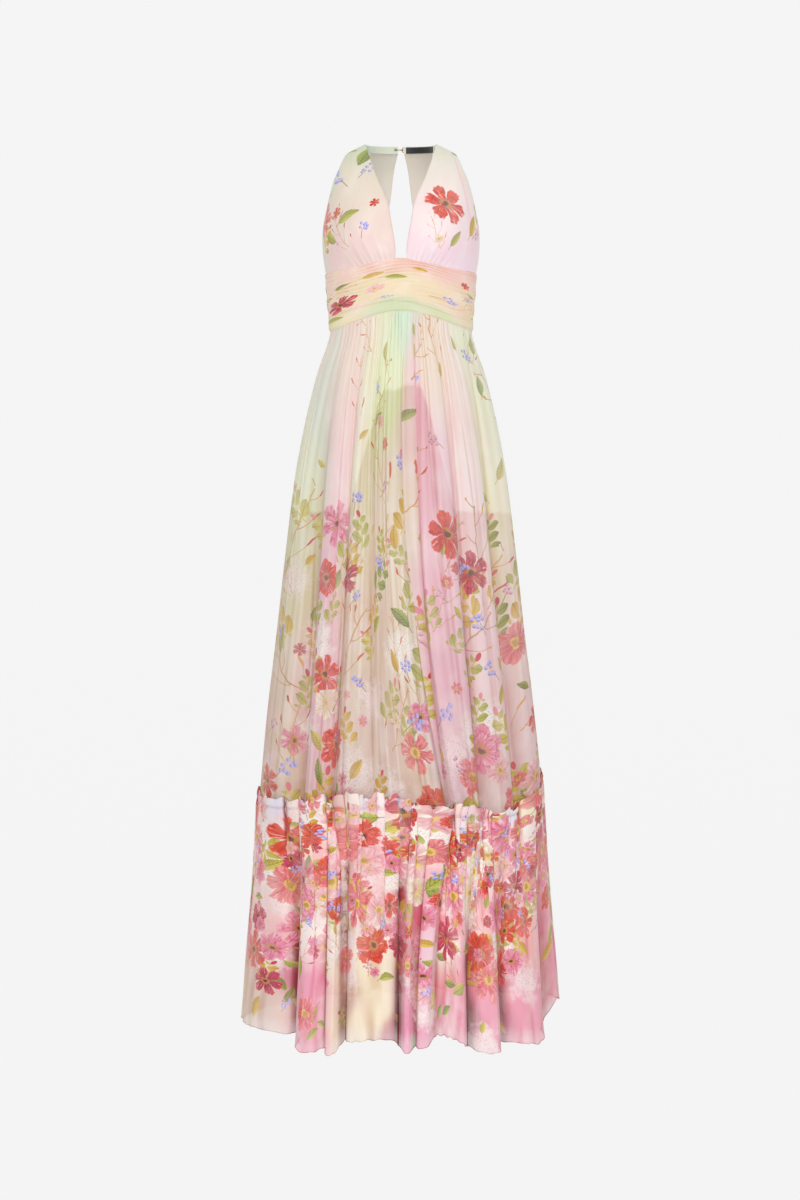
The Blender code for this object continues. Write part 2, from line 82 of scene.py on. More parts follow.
LINING_TUCK, LINING_INSIDE = 5, 1.0  # how far it reaches up behind the band, and lies inside it
LINING_DROP, LINING_NOTCH = 620, 204  # its hem at the sides, and how high the arch rises
NOTCH_SIDE_ANGLE, NOTCH_SIDE_WIDTH = 23, 22  # where each side of its arch falls, in degrees
NOTCH_SLANT, NOTCH_WAVE, NOTCH_WAVES = 0.5, 2.2, 24
LINING_EASE = 24  # how far inside the skirt its hem hangs
LINING_FOLDS, LINING_FOLD_DEPTH, LINING_FOLD_STRAY = 6.5, 1.6, 0.3
LINING_MESH = (60, 110)
LINING_HALF_WIDTH, LINING_LENGTH = 0.47, 0.33  # cut of each half, in metres
LINING_SEWN_ROW = -3  # the row of its mesh that the hem's stitches follow
LINING_STITCHES = (1.9, 2.6, 0.2)  # length, spacing and radius
STITCH_SIDES, STITCH_RINGS = 6, 4
STITCH_SHORTEST, STITCH_LONGEST = 0.42, 0.54  # half a stitch, as shares of the length asked for


def through(knots, values, at):
    """Reads the smooth curve that passes through the values at the knots."""
    slopes = np.gradient(values, knots)
    i = np.clip(np.searchsorted(knots, at) - 1, 0, len(knots) - 2)
    step = knots[i + 1] - knots[i]
    s = (at - knots[i]) / step
    return (
        values[i] * (1 + 2 * s) * (1 - s) ** 2
        + values[i + 1] * s**2 * (3 - 2 * s)
        + step * (slopes[i] * s * (1 - s) ** 2 - slopes[i + 1] * s**2 * (1 - s))
    )


def read(table, at):
    """The columns of a table after its first, each read smoothly against that first one."""
    knots, *columns = np.array(table, float).T
    return [through(knots, values, at) for values in columns]


def cosine(angle):
    """The cosine of an angle in degrees."""
    return np.cos(np.radians(angle))


def sine(angle):
    """The sine of an angle in degrees."""
    return np.sin(np.radians(angle))


def oval(angle, half_width, depth, out):
    """Points of an oval seen from above, moved out along its own normals."""
    x, y = half_width * sine(angle), -depth * cosine(angle)
    normal_x, normal_y = sine(angle) / half_width, -cosine(angle) / depth
    length = np.hypot(normal_x, normal_y)
    return x + out * normal_x / length, y + out * normal_y / length


def girth_point(angle, drop, out):
    """Points on the figure at an angle and a drop, moved out from it."""
    half_width, front, back = read(GIRTHS, drop)
    x, y = oval(angle, half_width, np.where(cosine(angle) > 0, front, back), out)
    return np.stack([x, y, -drop + 0 * x], axis=-1)


def arch(angle, power):
    """1 at the centre front, falling to 0 at the side seams and round the back."""
    return np.maximum(cosine(angle), 0) ** power


def band_top(angle):
    """The drop of the waistband's upper seam, which rises in a narrow arch in front."""
    return BAND_TOP_DROP - BAND_TOP_ARCH * arch(angle, 6)


def band_foot(angle):
    """The drop of its lower seam, whose arch is broader."""
    return BAND_FOOT_DROP - BAND_FOOT_ARCH * arch(angle, 4)


def shares(rows, columns):
    """How far down, and how far across, each point of a grid lies, from 0 to 1."""
    down, across = np.linspace(0, 1, rows + 1), np.linspace(0, 1, columns + 1)
    return np.meshgrid(down, across, indexing="ij")


def cut_flat(width, length, across, down):
    """Where the points of a grid lie on their cut cloth, across from its middle and down."""
    return np.stack([width * (across - 0.5), length * down], axis=-1)


def add_object(name, data):
    """Adds an object that holds the data to the scene."""
    added = bpy.data.objects.new(name, data)
    bpy.context.scene.collection.objects.link(added)
    return added


def make_cloth(name, points, cut, material):
    """Makes rows of points, top row first, into a sheet that faces out. Its UV map is its cut."""
    rows, columns = points.shape[:2]
    corners = np.arange(rows * columns).reshape(rows, columns)
    quads = np.stack(
        [corners[:-1, :-1], corners[1:, :-1], corners[1:, 1:], corners[:-1, 1:]],
        axis=-1,
    ).reshape(-1, 4)
    mesh = bpy.data.meshes.new(name)
    mesh.from_pydata((points.reshape(-1, 3) * MM).tolist(), [], quads.tolist())
    mesh.shade_smooth()
    mesh.uv_layers.new(name="cut").data.foreach_set("uv", cut.reshape(-1, 2)[quads].ravel())
    mesh.materials.append(material)
    return add_object(name, mesh)


def put_in_place(piece, slot, *nodes):
    """The piece hangs with the dress, and stands for the CAD nodes that are named."""
    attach(piece, "root")
    if nodes:
        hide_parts(*nodes)


def linear(hex_colour):
    """A screen colour such as "F4C3D4" as linear red, green, blue and alpha."""
    screen = np.array([int(hex_colour[i : i + 2], 16) / 255 for i in (0, 2, 4)])
    light = np.where(screen > 0.04045, ((screen + 0.055) / 1.055) ** 2.4, screen / 12.92)
    return (*light.tolist(), 1.0)


class Value:
    """A number in a material's nodes. Arithmetic on it adds Math nodes."""

    def __init__(self, finish, socket):
        self.finish = finish
        self.socket = socket

    def math(self, operation, *others, clamp=False):
        return self.finish.math(operation, self, *others, clamp=clamp)

    def __add__(self, other):
        return self.math("ADD", other)

    def __sub__(self, other):
        return self.math("SUBTRACT", other)

    def __rsub__(self, other):
        return self.finish.math("SUBTRACT", other, self)

    def __mul__(self, other):
        return self.math("MULTIPLY", other)

    def __truediv__(self, other):
        return self.math("DIVIDE", other)

    def __rtruediv__(self, other):
        return self.finish.math("DIVIDE", other, self)

    def __pow__(self, other):
        return self.math("POWER", other)

    __radd__ = __add__
    __rmul__ = __mul__

    def over(self, limit, blur):
        """1 where the value is over the limit and 0 where it is under, with a soft step."""
        return self.math("MULTIPLY_ADD", 1 / blur, 0.5 - limit / blur, clamp=True)

    def under(self, limit, blur):
        """1 where the value is under the limit and 0 where it is over."""
        return self.math("MULTIPLY_ADD", -1 / blur, 0.5 + limit / blur, clamp=True)


def connect(tree, value, socket):
    """Links a value or a socket to a node's socket, or sets that socket to a plain value."""
    value = value.socket if isinstance(value, Value) else value
    if isinstance(value, bpy.types.NodeSocket):
        tree.links.new(value, socket)
    else:
        socket.default_value = value


def set_stops(ramp, stops):
    """Gives a colour ramp its colours, each at its place."""
    while len(ramp.elements) < len(stops):
        ramp.elements.new(1)
    for element, (place, hex_colour) in zip(ramp.elements, sorted(stops.items())):
        element.position = place
        element.color = linear(hex_colour)


def add_node(tree, kind, settings, sockets):
    """Adds a node: first its settings, then its sockets' values or links."""
    node = tree.nodes.new(kind)
    for name, value in settings.items():
        if name == "stops":
            set_stops(node.color_ramp, value)
        else:
            setattr(node, name, value)
    for key, value in sockets.items():
        connect(tree, value, node.inputs[key])
    return node


class Finish:
    """One material: a Principled shader, and the nodes that feed it."""

    def __init__(self, name, **constants):
        self.material = bpy.data.materials.new(name)
        self.material.use_nodes = True
        self.tree = self.material.node_tree
        self.shader = self.tree.nodes["Principled BSDF"]
        for socket, value in constants.items():
            self.shader.inputs[socket.replace("_", " ")].default_value = value

    def node(self, kind, settings, sockets):
        return add_node(self.tree, "ShaderNode" + kind, settings, sockets)

    def give(self, name, value):
        """Feeds one of the shader's sockets."""
        connect(self.tree, value, self.shader.inputs[name])

    def drawn(self, name, output):
        """What the mesh holds under a name: its Color, Vector or Fac."""
        return self.node("Attribute", {"attribute_name": name}, {}).outputs[output]

    def math(self, operation, *values, clamp=False):
        settings = {"operation": operation, "use_clamp": clamp}
        return Value(self, self.node("Math", settings, dict(enumerate(values))).outputs[0])

    def vector(self, x, y, z=0.0):
        return self.node("CombineXYZ", {}, {"X": x, "Y": y, "Z": z}).outputs[0]

    def parts(self, vector):
        """The three numbers of a vector, as values."""
        return [Value(self, s) for s in self.node("SeparateXYZ", {}, {0: vector}).outputs]

    def mix(self, amount, under, over, blend="MIX"):
        """A colour over another, each a hex colour or a socket."""
        settings = {"data_type": "RGBA", "blend_type": blend}
        under, over = (linear(c) if isinstance(c, str) else c for c in (under, over))
        return self.node("Mix", settings, {0: amount, 6: under, 7: over}).outputs[2]

    def noise(self, vector, scale, detail=2.0):
        """Three soft random values around 0.5 that change over the vector."""
        node = self.node("TexNoise", {}, {"Vector": vector, "Scale": scale, "Detail": detail})
        return self.parts(node.outputs["Color"])

    def ramp(self, value, stops, interpolation="LINEAR"):
        """A colour that goes with the value through the stops."""
        node = self.node("ValToRGB", {"stops": stops}, {0: value})
        node.color_ramp.interpolation = interpolation
        return node.outputs[0]

    def cut(self):
        """Where a point lies on the cut cloth, across and down, in metres."""
        across, down, _ = self.parts(self.node("UVMap", {"uv_map": "cut"}, {}).outputs[0])
        return across, down

    def woven(self, pitch, strength):
        """Threads over and under each other, as a bump."""
        across, down = self.cut()
        often = math.pi / pitch
        threads = (across * often).math("SINE") * (down * often).math("SINE")
        crepe = self.noise(self.vector(across, down), 0.4 / pitch)[0]
        sockets = {"Strength": strength, "Distance": pitch / 2, "Height": threads * 0.4 + crepe}
        self.give("Normal", self.node("Bump", {}, sockets).outputs[0])


def lining_cloth():
    """Plain off-white cloth with a faint sheen, a little streaked down its length."""
    finish = Finish("lining_cloth", Roughness=0.6, Sheen_Weight=0.3)
    across, down = finish.cut()
    shade = finish.noise(finish.vector(across * 60, down * 6), 1)[0]
    finish.give("Base Color", finish.mix(shade, "F6EFE8", "FDF9F4"))
    finish.woven(pitch=0.0007, strength=0.2)
    return finish.material


def step_up(share, at, width):
    """0 before a place and 1 after it, with a smooth rise between."""
    s = np.clip((share - at) / width + 0.5, 0, 1)
    return s * s * (3 - 2 * s)


def ripples(share, count, stray, way):
    """Even waves along a share of the cloth, from -1 to 1, that stray as the way changes."""
    return np.sin(2 * np.pi * (count * share + stray * np.sin(way)))


def lining_hem_drop(angle):
    """How far down the slip reaches: its hem rises in an arch at the centre front."""
    notch = 1 - step_up(np.abs(angle), NOTCH_SIDE_ANGLE, NOTCH_SIDE_WIDTH)
    waves = NOTCH_SLANT * angle + NOTCH_WAVE * sine(NOTCH_WAVES * angle)
    return LINING_DROP - (LINING_NOTCH + waves) * notch


def lining_half(first_angle):
    """Half of the slip, from behind the waistband down to its hem, with a few slack folds."""
    down, across = shares(*LINING_MESH)
    angle = first_angle + 180 * across
    hem = lining_hem_drop(angle)
    top = band_foot(angle) - LINING_TUCK
    folds = ripples(across, LINING_FOLDS, LINING_FOLD_STRAY, 9 * across)
    slack = LINING_FOLD_DEPTH * down * folds
    out = -LINING_INSIDE - LINING_EASE * down + slack
    points = girth_point(angle, top + (hem - top) * down, out)
    return points, cut_flat(LINING_HALF_WIDTH, LINING_LENGTH, across, down)


def sewing_thread(name, dark, light):
    """Twisted thread: its strands show as fine slanted bands."""
    finish = Finish(name, Roughness=0.55, Sheen_Weight=0.2)
    x, y, z = finish.parts(finish.node("TexCoord", {}, {}).outputs["Object"])
    twist = ((x + y + z) * 9000).math("SINE").over(0, 1.2)
    finish.give("Base Color", finish.mix(twist, dark, light))
    return finish.material


def stitch_recipe():
    """A tree that lays stitches along a line: one small spindle every pitch, a little uneven."""
    tree = bpy.data.node_groups.new("row_of_stitches", "GeometryNodeTree")
    tree.interface.new_socket("Line", in_out="INPUT", socket_type="NodeSocketGeometry")
    for name in ("Pitch", "Stitch length", "Thread radius"):
        tree.interface.new_socket(name, in_out="INPUT", socket_type="NodeSocketFloat")
    tree.interface.new_socket("Thread", in_out="INPUT", socket_type="NodeSocketMaterial")
    tree.interface.new_socket("Stitches", in_out="OUTPUT", socket_type="NodeSocketGeometry")

    def add(kind, settings, sockets):
        return add_node(tree, kind, settings, sockets)

    given = add("NodeGroupInput", {}, {}).outputs
    line = add("GeometryNodeMeshToCurve", {}, {"Mesh": given["Line"]}).outputs[0]
    sockets = {"Curve": line, "Length": given["Pitch"]}
    even = add("GeometryNodeResampleCurve", {"mode": "LENGTH"}, sockets).outputs[0]
    points = add("GeometryNodeCurveToPoints", {"mode": "EVALUATED"}, {"Curve": even}).outputs
    sockets = {"Vector": points["Tangent"]}
    along = add("FunctionNodeAlignRotationToVector", {"axis": "Z"}, sockets).outputs[0]
    sockets = {"Segments": STITCH_SIDES, "Rings": STITCH_RINGS, "Radius": 1.0}
    spindle = add("GeometryNodeMeshUVSphere", {}, sockets).outputs["Mesh"]
    sockets = {2: STITCH_SHORTEST, 3: STITCH_LONGEST, "Seed": 4}  # 2 and 3: its Min and Max
    share = add("FunctionNodeRandomValue", {"data_type": "FLOAT"}, sockets).outputs[1]
    sockets = {0: given["Stitch length"], 1: share}
    half = add("ShaderNodeMath", {"operation": "MULTIPLY"}, sockets).outputs[0]
    sockets = {"X": given["Thread radius"], "Y": given["Thread radius"], "Z": half}
    size = add("ShaderNodeCombineXYZ", {}, sockets).outputs[0]
    sockets = {"Points": points["Points"], "Instance": spindle, "Rotation": along, "Scale": size}
    laid = add("GeometryNodeInstanceOnPoints", {}, sockets).outputs[0]
    real = add("GeometryNodeRealizeInstances", {}, {"Geometry": laid}).outputs[0]
    smooth = add("GeometryNodeSetShadeSmooth", {}, {"Geometry": real}).outputs[0]
    sockets = {"Geometry": smooth, "Material": given["Thread"]}
    done = add("GeometryNodeSetMaterial", {}, sockets).outputs[0]
    add("NodeGroupOutput", {}, {"Stitches": done})
    return tree


stitches_tree = stitch_recipe()


def plain_mesh(guide):
    """The mesh that a guide comes to with its modifiers or its bevel. The guide goes."""
    evaluated = guide.evaluated_get(bpy.context.evaluated_depsgraph_get())
    mesh = bpy.data.meshes.new_from_object(evaluated)
    bpy.data.objects.remove(guide)
    return mesh


def sew(name, lines, stitches, thread):
    """Lays stitches along lines of points, and leaves them as one plain mesh."""
    length, pitch, radius = stitches
    corners, edges = [], []
    for line in lines:
        first = len(corners)
        corners += (line * MM).tolist()
        edges += [(i, i + 1) for i in range(first, len(corners) - 1)]
    mesh = bpy.data.meshes.new(name + "_line")
    mesh.from_pydata(corners, edges, [])
    guide = add_object(name + "_line", mesh)
    modifier = guide.modifiers.new("stitches", "NODES")
    modifier.node_group = stitches_tree
    given = {"Pitch": pitch * MM, "Stitch length": length * MM}
    given.update({"Thread radius": radius * MM, "Thread": thread})
    for socket in stitches_tree.interface.items_tree:
        if socket.name in given:
            modifier[socket.identifier] = given[socket.name]
    return add_object(name, plain_mesh(guide))


slip_finish = lining_cloth()
slip_thread = sewing_thread("lining_thread", "E6DAD0", "FBF4EE")
for place, first_angle in (("front", -LEFT_SEAM), ("back", LEFT_SEAM)):
    points, cut = lining_half(first_angle)
    lining = make_cloth("lining_" + place, points, cut, slip_finish)
    put_in_place(lining, "lining_cloth", "lining_" + place)
    hem = sew("lining_hem_" + place, [points[LINING_SEWN_ROW]], LINING_STITCHES, slip_thread)
    put_in_place(hem, "lining_cloth")
    "waistband_" + place

# ------------------------------------------------------------
# Skirt. A front and a back of printed chiffon, cut much wider than the waist and gathered into
# the waistband's seam. The cloth falls in long uneven folds, and its flowers are printed on.
# ------------------------------------------------------------

SKIRT_MID = 0.47  # how far down the skirt the folds' middle places are given
SKIRT_TUCK = 3  # how far the skirt reaches up behind the waistband
STITCHED_BELOW = 8  # how far below the seam the gathering thread runs
SEAM_EDGE = 1.5  # what the skirt keeps below that thread, and behind it
SKIRT_LENGTH = 0.79  # cut of each half, in metres
SKIRT_TOP_WIDTH, SKIRT_FOOT_WIDTH = 0.66, 0.88
SKIRT_MESH = {"front": (190, 440), "back": (140, 360)}
SKIRT_RIPPLES, SKIRT_RIPPLE_DEPTH, SKIRT_RIPPLE_STRAY = 29, 0.35, 0.8  # faint, and deeper below

# The seam between skirt and flounce dips and rises, and the heading above it leans out.
SeamPlace = namedtuple("SeamPlace", "angle drop lift lean")
SEAM = (
    SeamPlace(-90, 1087, 13, 5),
    SeamPlace(-45, 1096, 13, 6),
    SeamPlace(-8, 1090, 14, 5),
    SeamPlace(22, 1103, 8, 9),
    SeamPlace(45, 1107, 7, 10),
    SeamPlace(66, 1084, 11, 7),
    SeamPlace(90, 1060, 13, 5),
    SeamPlace(135, 1068, 13, 6),
    SeamPlace(180, 1080, 12, 6),
    SeamPlace(225, 1085, 13, 6),
    SeamPlace(270, 1087, 13, 5),
)

# One row for each place where the skirt's cloth turns, out onto a ridge or in to a valley:
# cloth is the percentage of the cut width, the angles are at the waist, half way and the seam.
Fold = namedtuple("Fold", "cloth top_angle mid_angle seam_angle mid_out seam_out")
SKIRT_FRONT_FOLDS = (
    Fold(0, -90, -90, -90, 0, 0),
    Fold(5, -76, -75, -74, 4, 5),
    Fold(10, -62, -60, -57, 5, 8),
    Fold(16, -50, -46, -44, -9, -12),
    Fold(20, -41, -37, -38, 7, 9),
    Fold(24, -35, -33, -34, 3, 5),
    Fold(28, -30, -28.5, -30, -8, -11),
    Fold(34, -23, -22, -20, 4, 5),
    Fold(40, -16, -14, -9, -3, 6),
    Fold(46, -10, -8, 1, 5, 9),
    Fold(51, -4, -3.5, 9, 9, 12),
    Fold(54, 0, 0.5, 14.2, 3, 12),
    Fold(57, 3, 3, 17, -5, -1),
    Fold(60, 6, 6, 19, 3, -10),
    Fold(63, 9, 9.3, 21.2, -9, -12),
    Fold(68, 15, 14, 25, 8, 9),
    Fold(73, 22, 23, 29.5, 7, 7),
    Fold(76.5, 28, 29.5, 32.5, -9, -12),
    Fold(82, 37, 38, 41, 4, 8),
    Fold(86, 44, 46, 48, 3, 6),
    Fold(89.5, 51, 52, 53, -8, -10),
    Fold(94, 66, 67, 67, 5, 7),
    Fold(100, 90, 90, 90, 0, 0),
)
SKIRT_BACK_RIDGES, SKIRT_BACK_MID_OUT, SKIRT_BACK_SEAM_OUT = 7, 6.5, 10.5
BACK_FOLD_STRAY = 3  # degrees that a fold behind strays from an even place
BACK_SIZE_STRAY = 0.25  # and the share by which its size does
SKIRT_BACK_CREASES = 17

# Small creases that come and go: cloth and width are percentages of the cut width, drift is how
# far the crease wanders from its start to its end, and a depth below 0 is a trough.
Crease = namedtuple("Crease", "cloth drift start end depth width")
SKIRT_FRONT_CREASES = (
    Crease(7, 1, 0.10, 0.75, 1.6, 1.0),
    Crease(12.5, -1, 0.02, 0.50, -1.8, 0.8),
    Crease(18, 1, 0.15, 0.95, 1.4, 0.7),
    Crease(22.5, 0.5, 0.05, 0.60, -1.5, 0.6),
    Crease(26, 1.5, 0.30, 1.00, 1.6, 0.8),
    Crease(31, -0.5, 0.08, 0.70, -2.0, 0.8),
    Crease(36.5, 1, 0.02, 0.45, 1.8, 0.6),
    Crease(38, 2, 0.40, 1.05, -1.6, 1.0),
    Crease(43, -1, 0.05, 0.80, 1.6, 0.8),
    Crease(48.5, 1, 0.20, 0.90, -1.9, 0.7),
    Crease(52.5, 0.5, 0.35, 1.05, 1.7, 0.5),
    Crease(58.5, 0.5, 0.03, 0.55, 1.8, 0.5),
    Crease(66, -0.8, 0.25, 1.00, -1.4, 0.7),
    Crease(70.5, 0.8, 0.06, 0.85, -2.2, 0.7),
    Crease(74.5, -0.5, 0.45, 1.05, 1.5, 0.8),
    Crease(79, 1, 0.10, 0.65, 1.8, 0.8),
    Crease(84, -1, 0.30, 1.00, -1.8, 0.7),
    Crease(91.5, 0.5, 0.05, 0.70, 1.6, 0.9),
    Crease(96.5, -1, 0.20, 0.95, -1.6, 1.0),
)

# Gathers at the waist: many fine ones near the seam, which run together into fewer lower down.
# Lean is how far, in millimetres, the sides of a gather lean out over the valleys beside it.
Gathering = namedtuple("Gathering", "count depth fade lean")
SKIRT_GATHERS = (
    Gathering(57, 1.8, 8, 0.7),
    Gathering(39, 1.8, 6, 1.0),
    Gathering(24, 1.8, 4.5, 1.5),
    Gathering(13, 1.4, 2.2, 2.6),
)
# A stray is a wave of some size, which runs on with each of two measures of a place.
Stray = namedtuple("Stray", "size first second")
GATHER_STRAYS = (Stray(0.010, 17.3, 1), Stray(0.004, 61, 2))
GATHER_SIZE, GATHER_SIZE_STRAY = 0.75, 0.35
SIDE_FULLNESS, MORE_FULLNESS = 0.55, 0.45  # how full the gathers are in front, and at the fullest
FULLEST_AT, FULLNESS_WIDTH = 0.55, 0.32
BACK_FULLNESS = 0.8
SEWN_FLAT = 0.007  # how far below its seam, as a share of its length, the cloth is held flat
TURN_UNDER = 7  # how far the sides of a fold lean under its ridge, for each unit of their slope
STEEPEST = 1.3  # the steepest slope that this counts

# Pools of colour on the cut cloth: across is a percentage of its width, down a share of its length.
Wash = namedtuple("Wash", "across down wide tall colour")
SKIRT_FRONT_WASHES = (
    Wash(3, 0.10, 6, 0.16, "F2DCC9"),
    Wash(5, 0.38, 8, 0.20, "E9EBC4"),
    # Partly the print's grey-green, and partly painted shade in the valley of the fold beside it.
    Wash(13, 0.20, 4, 0.16, "CFDDCB"),
    Wash(12, 0.45, 4, 0.14, "E4E2BE"),
    Wash(6, 0.72, 9, 0.16, "F1E4D2"),
    Wash(22, 0.08, 8, 0.12, "F5D6C4"),
    Wash(22, 0.26, 7, 0.14, "F4CDC9"),
    Wash(22, 0.50, 4, 0.22, "F5CBD8"),
    Wash(20, 0.78, 5, 0.12, "F3D0DA"),
    Wash(33, 0.06, 4, 0.10, "F3E0C2"),
    Wash(37, 0.20, 5, 0.16, "E9EBBA"),
    Wash(44, 0.12, 5, 0.16, "E2EBB0"),
    Wash(34, 0.45, 6, 0.16, "F1E6CC"),
    Wash(36, 0.66, 8, 0.14, "F0E0D0"),
    Wash(38, 0.90, 9, 0.10, "F3E7DE"),
    Wash(50, 0.16, 7, 0.10, "E6F0B6"),
    Wash(49, 0.45, 4, 0.18, "F3E8D0"),
    Wash(51, 0.72, 4, 0.20, "F3E9D8"),
    Wash(58, 0.03, 8, 0.07, "C9EAC8"),
    Wash(58, 0.30, 4, 0.10, "F0DFC8"),
    Wash(65, 0.22, 4, 0.16, "F9B7C3"),
    Wash(68, 0.45, 6, 0.22, "F8C6D6"),
    Wash(70, 0.72, 8, 0.16, "F4CCDA"),
    Wash(66, 0.93, 8, 0.08, "F0DCE4"),
    Wash(75, 0.06, 5, 0.10, "F4D8BC"),
    Wash(80, 0.18, 6, 0.14, "FADAD2"),
    Wash(81, 0.45, 6, 0.18, "FADCDD"),
    Wash(84, 0.72, 7, 0.16, "F9E0E4"),
    Wash(82, 0.93, 8, 0.07, "F2E6E2"),
    Wash(91, 0.14, 5, 0.14, "ECEFC8"),
    Wash(94, 0.36, 5, 0.18, "F3ECCB"),
    Wash(95, 0.66, 6, 0.16, "F5E6DE"),
    Wash(97, 0.90, 6, 0.10, "F6E0E4"),
)
SKIRT_BACK_WASHES = (
    Wash(8, 0.16, 8, 0.18, "E2EAC8"),
    Wash(12, 0.50, 8, 0.20, "F4C4D4"),
    Wash(24, 0.10, 8, 0.14, "F5D2C8"),
    Wash(26, 0.38, 6, 0.18, "EFE6C8"),
    Wash(30, 0.72, 8, 0.16, "F3D4DC"),
    Wash(44, 0.08, 9, 0.12, "CDE6C8"),
    Wash(42, 0.40, 6, 0.20, "F6C6D2"),
    Wash(50, 0.68, 8, 0.16, "F2E8D6"),
    Wash(60, 0.22, 6, 0.16, "E8ECC4"),
    Wash(66, 0.52, 6, 0.18, "F5CCDA"),
    Wash(74, 0.12, 8, 0.14, "F4D6C2"),
    Wash(80, 0.40, 7, 0.18, "F1E4CE"),
    Wash(82, 0.74, 8, 0.16, "F3C8DA"),
    Wash(93, 0.20, 7, 0.20, "DDE9C8"),
    Wash(94, 0.56, 7, 0.18, "EFE6D2"),
)
POOL_WANDER_ACROSS = (Stray(1.6, 0.11, 9), Stray(0.9, -0.2, 23))  # their edges are uneven
POOL_WANDER_DOWN = (Stray(0.025, 0.23, 5), Stray(0.012, 0.61, 0))
CHIFFON_GROUND, GROUND_WEIGHT = "F2E6DA", 0.05
BRIGHTEST = 0.96
SKIRT_BODY, SKIRT_FOOT_BODY = 0.68, 0.80  # share of the light that the chiffon stops

# Painted shade: the colour is deeper where the cloth is sunk, for the shade in the valleys of its
# folds, and partly as chiffon that lies double there is deeper. How far a place is sunk is felt
# against the columns of its mesh around it: a few of them for a crease, more for a fold, most for
# both sides.
CREASE_REACH, FOLD_REACH, BROAD_REACH = 3, 7, 22
BROAD_SHARE = 0.5
# Painted shade: how much deeper the colour is for each millimetre sunk, in narrow creases, at the
# waist, and in the gathers right below the waistband.
SUNK_SHADE, SUNK_LEAST, SUNK_MOST = 0.13, -1.5, 5  # for each millimetre sunk, between these limits
CREASE_SHADE, CREASE_LEAST, CREASE_MOST = 0.6, -0.6, 1.2
WAIST_SHADE_SHARE, WAIST_EVEN = 0.35, 0.65  # what folds count for at the waist, and gain below it
WAIST_CRISP, CRISP_FADE = 2.6, 9  # how much more the gathers right below the waistband darken
# Painted shade in the valleys: what it takes from the red, green and blue, and how it darkens the
# print there too.
VALLEY_SHADE = (0.18, 0.28, 0.31)  # what a doubled valley takes from its red, green and blue
VALLEY_SHADE_TINT, VALLEY_SHADE_WEIGHT, VALLEY_MOST = "B07A70", 0.32, 1.5  # how the print deepens there too
# Painted shade just below the lining's hem, where no pale lining backs the chiffon.
UNLINED_SHADE, UNLINED_SHADE_BLUR = 0.28, 5  # how much deeper it is just below the lining that backs it
# Painted highlight on the ridges.
RIDGE_HIGHLIGHT = -0.26  # how much paler, at most, the cloth is on its ridges
# Painted shade that deepens on down to the foot.
FOOT_SHADE, FOOT_SHADE_FROM = 0.58, 0.36  # how it deepens on down to the foot

# How thickly each kind of motif is printed: chances are its likelihood at the top, a third, two
# thirds and the foot of the cloth, sizes are radii in metres, and lean is in degrees.
Sowing = namedtuple("Sowing", "layer tries chances small large apart lean")
SKIRT_SOWINGS = (
    Sowing("clouds", 70, (0.0, 0.05, 0.2, 1.0), 0.035, 0.060, 1.2, 180),
    Sowing("twigs", 60, (0.7, 0.9, 0.5, 0.2), 0.050, 0.085, 0.8, 50),
    Sowing("sprays", 140, (0.0, 0.14, 0.8, 1.0), 0.028, 0.048, 1.15, 50),
    Sowing("leaves", 130, (0.2, 0.35, 0.6, 0.9), 0.014, 0.030, 1.5, 60),
    Sowing("berries", 90, (0.05, 0.7, 0.4, 0.35), 0.018, 0.028, 2.2, 60),
    Sowing("large_blooms", 120, (0.0, 0.05, 0.11, 1.0), 0.026, 0.044, 1.2, 180),
    Sowing("small_blooms", 70, (0.0, 0.15, 0.3, 0.6), 0.009, 0.015, 2.2, 180),
)

Motif = namedtuple("Motif", "across down size lean kind")
MOTIF_LAYERS = {
    "clouds": 1.0,
    "twigs": 0.55,
    "sprays": 0.62,
    "leaves": 0.5,
    "berries": 0.8,
    "large_blooms": 1.0,
    "small_blooms": 1.0,
}  # how wide each kind is, as a share of its height
OFF_THE_MOTIF = (9.0, 0.0, 0.0)
LARGE_BLOOM_RINGS = ((0.95, 6, 0.0), (0.60, 5, 1.3))  # spread, petals and turn

# The motifs' colours, each from its place on a scale from 0 to 1.
WOOD = {0: "C98A42", 0.5: "DC9A50", 1: "AE8446"}
TWIG_BUDS = {0: "D2552F", 0.35: "E3A23C", 0.7: "C23A48"}
SPRAY_BUDS = {0: "CF3B4A", 0.4: "E87E90", 0.75: "B8293F"}
DEEP_LEAVES = {0: "7A7E2C", 0.35: "988626", 0.65: "5A6C2E", 0.78: "B08226"}
LIGHT_LEAVES = {0: "CCCB64", 0.35: "E2D260", 0.65: "ADB758", 0.78: "EAC65A"}
PETALS_AT = (0, 0.22, 0.32, 0.54, 0.76, 0.92)
DEEP_PETALS = dict(zip(PETALS_AT, ("A81E1C", "8E1834", "CC4C72", "C43C4C", "D8808C", "D6B48E")))
LIGHT_PETALS = dict(zip(PETALS_AT, ("FB5A3C", "E4506C", "FBB0C4", "FB9A98", "FDDAD8", "FDF4E6")))
HEARTS, STAMENS = {0: "5A3228", 0.46: "B99530"}, {0: "C98A4A", 0.46: "EBCB58"}


def layer_of(finish, name):
    """Where a point lies on the nearest motif of a layer, which reaches from -1 to 1."""
    return finish.parts(finish.drawn(name, "Vector"))


def bowed(x, y, kind, most):
    """x measured from a stem that curves to one side or the other."""
    return x - (1 - y * y) * ((kind * 5).math("FRACT") - 0.5) * most


def draw_cloud(finish):
    """A pale cloud of tiny white florets with specks between them."""
    x, y, kind = layer_of(finish, "clouds")
    place = finish.vector(x, y, kind * 40)
    ragged = finish.noise(place, 3.5, 4)
    reach = (x * x + y * y) ** 0.5
    cloud = (0.95 - reach + (ragged[0] - 0.5) * 1.5).over(0.3, 0.5)
    specks = finish.noise(place, 26, 0)[1].over(0.66, 0.06)
    colour = finish.mix(specks * 0.7, finish.ramp(kind, {0: "FBF6EE", 1: "F8DDE2"}), "B9A98A")
    return cloud * 0.85, colour


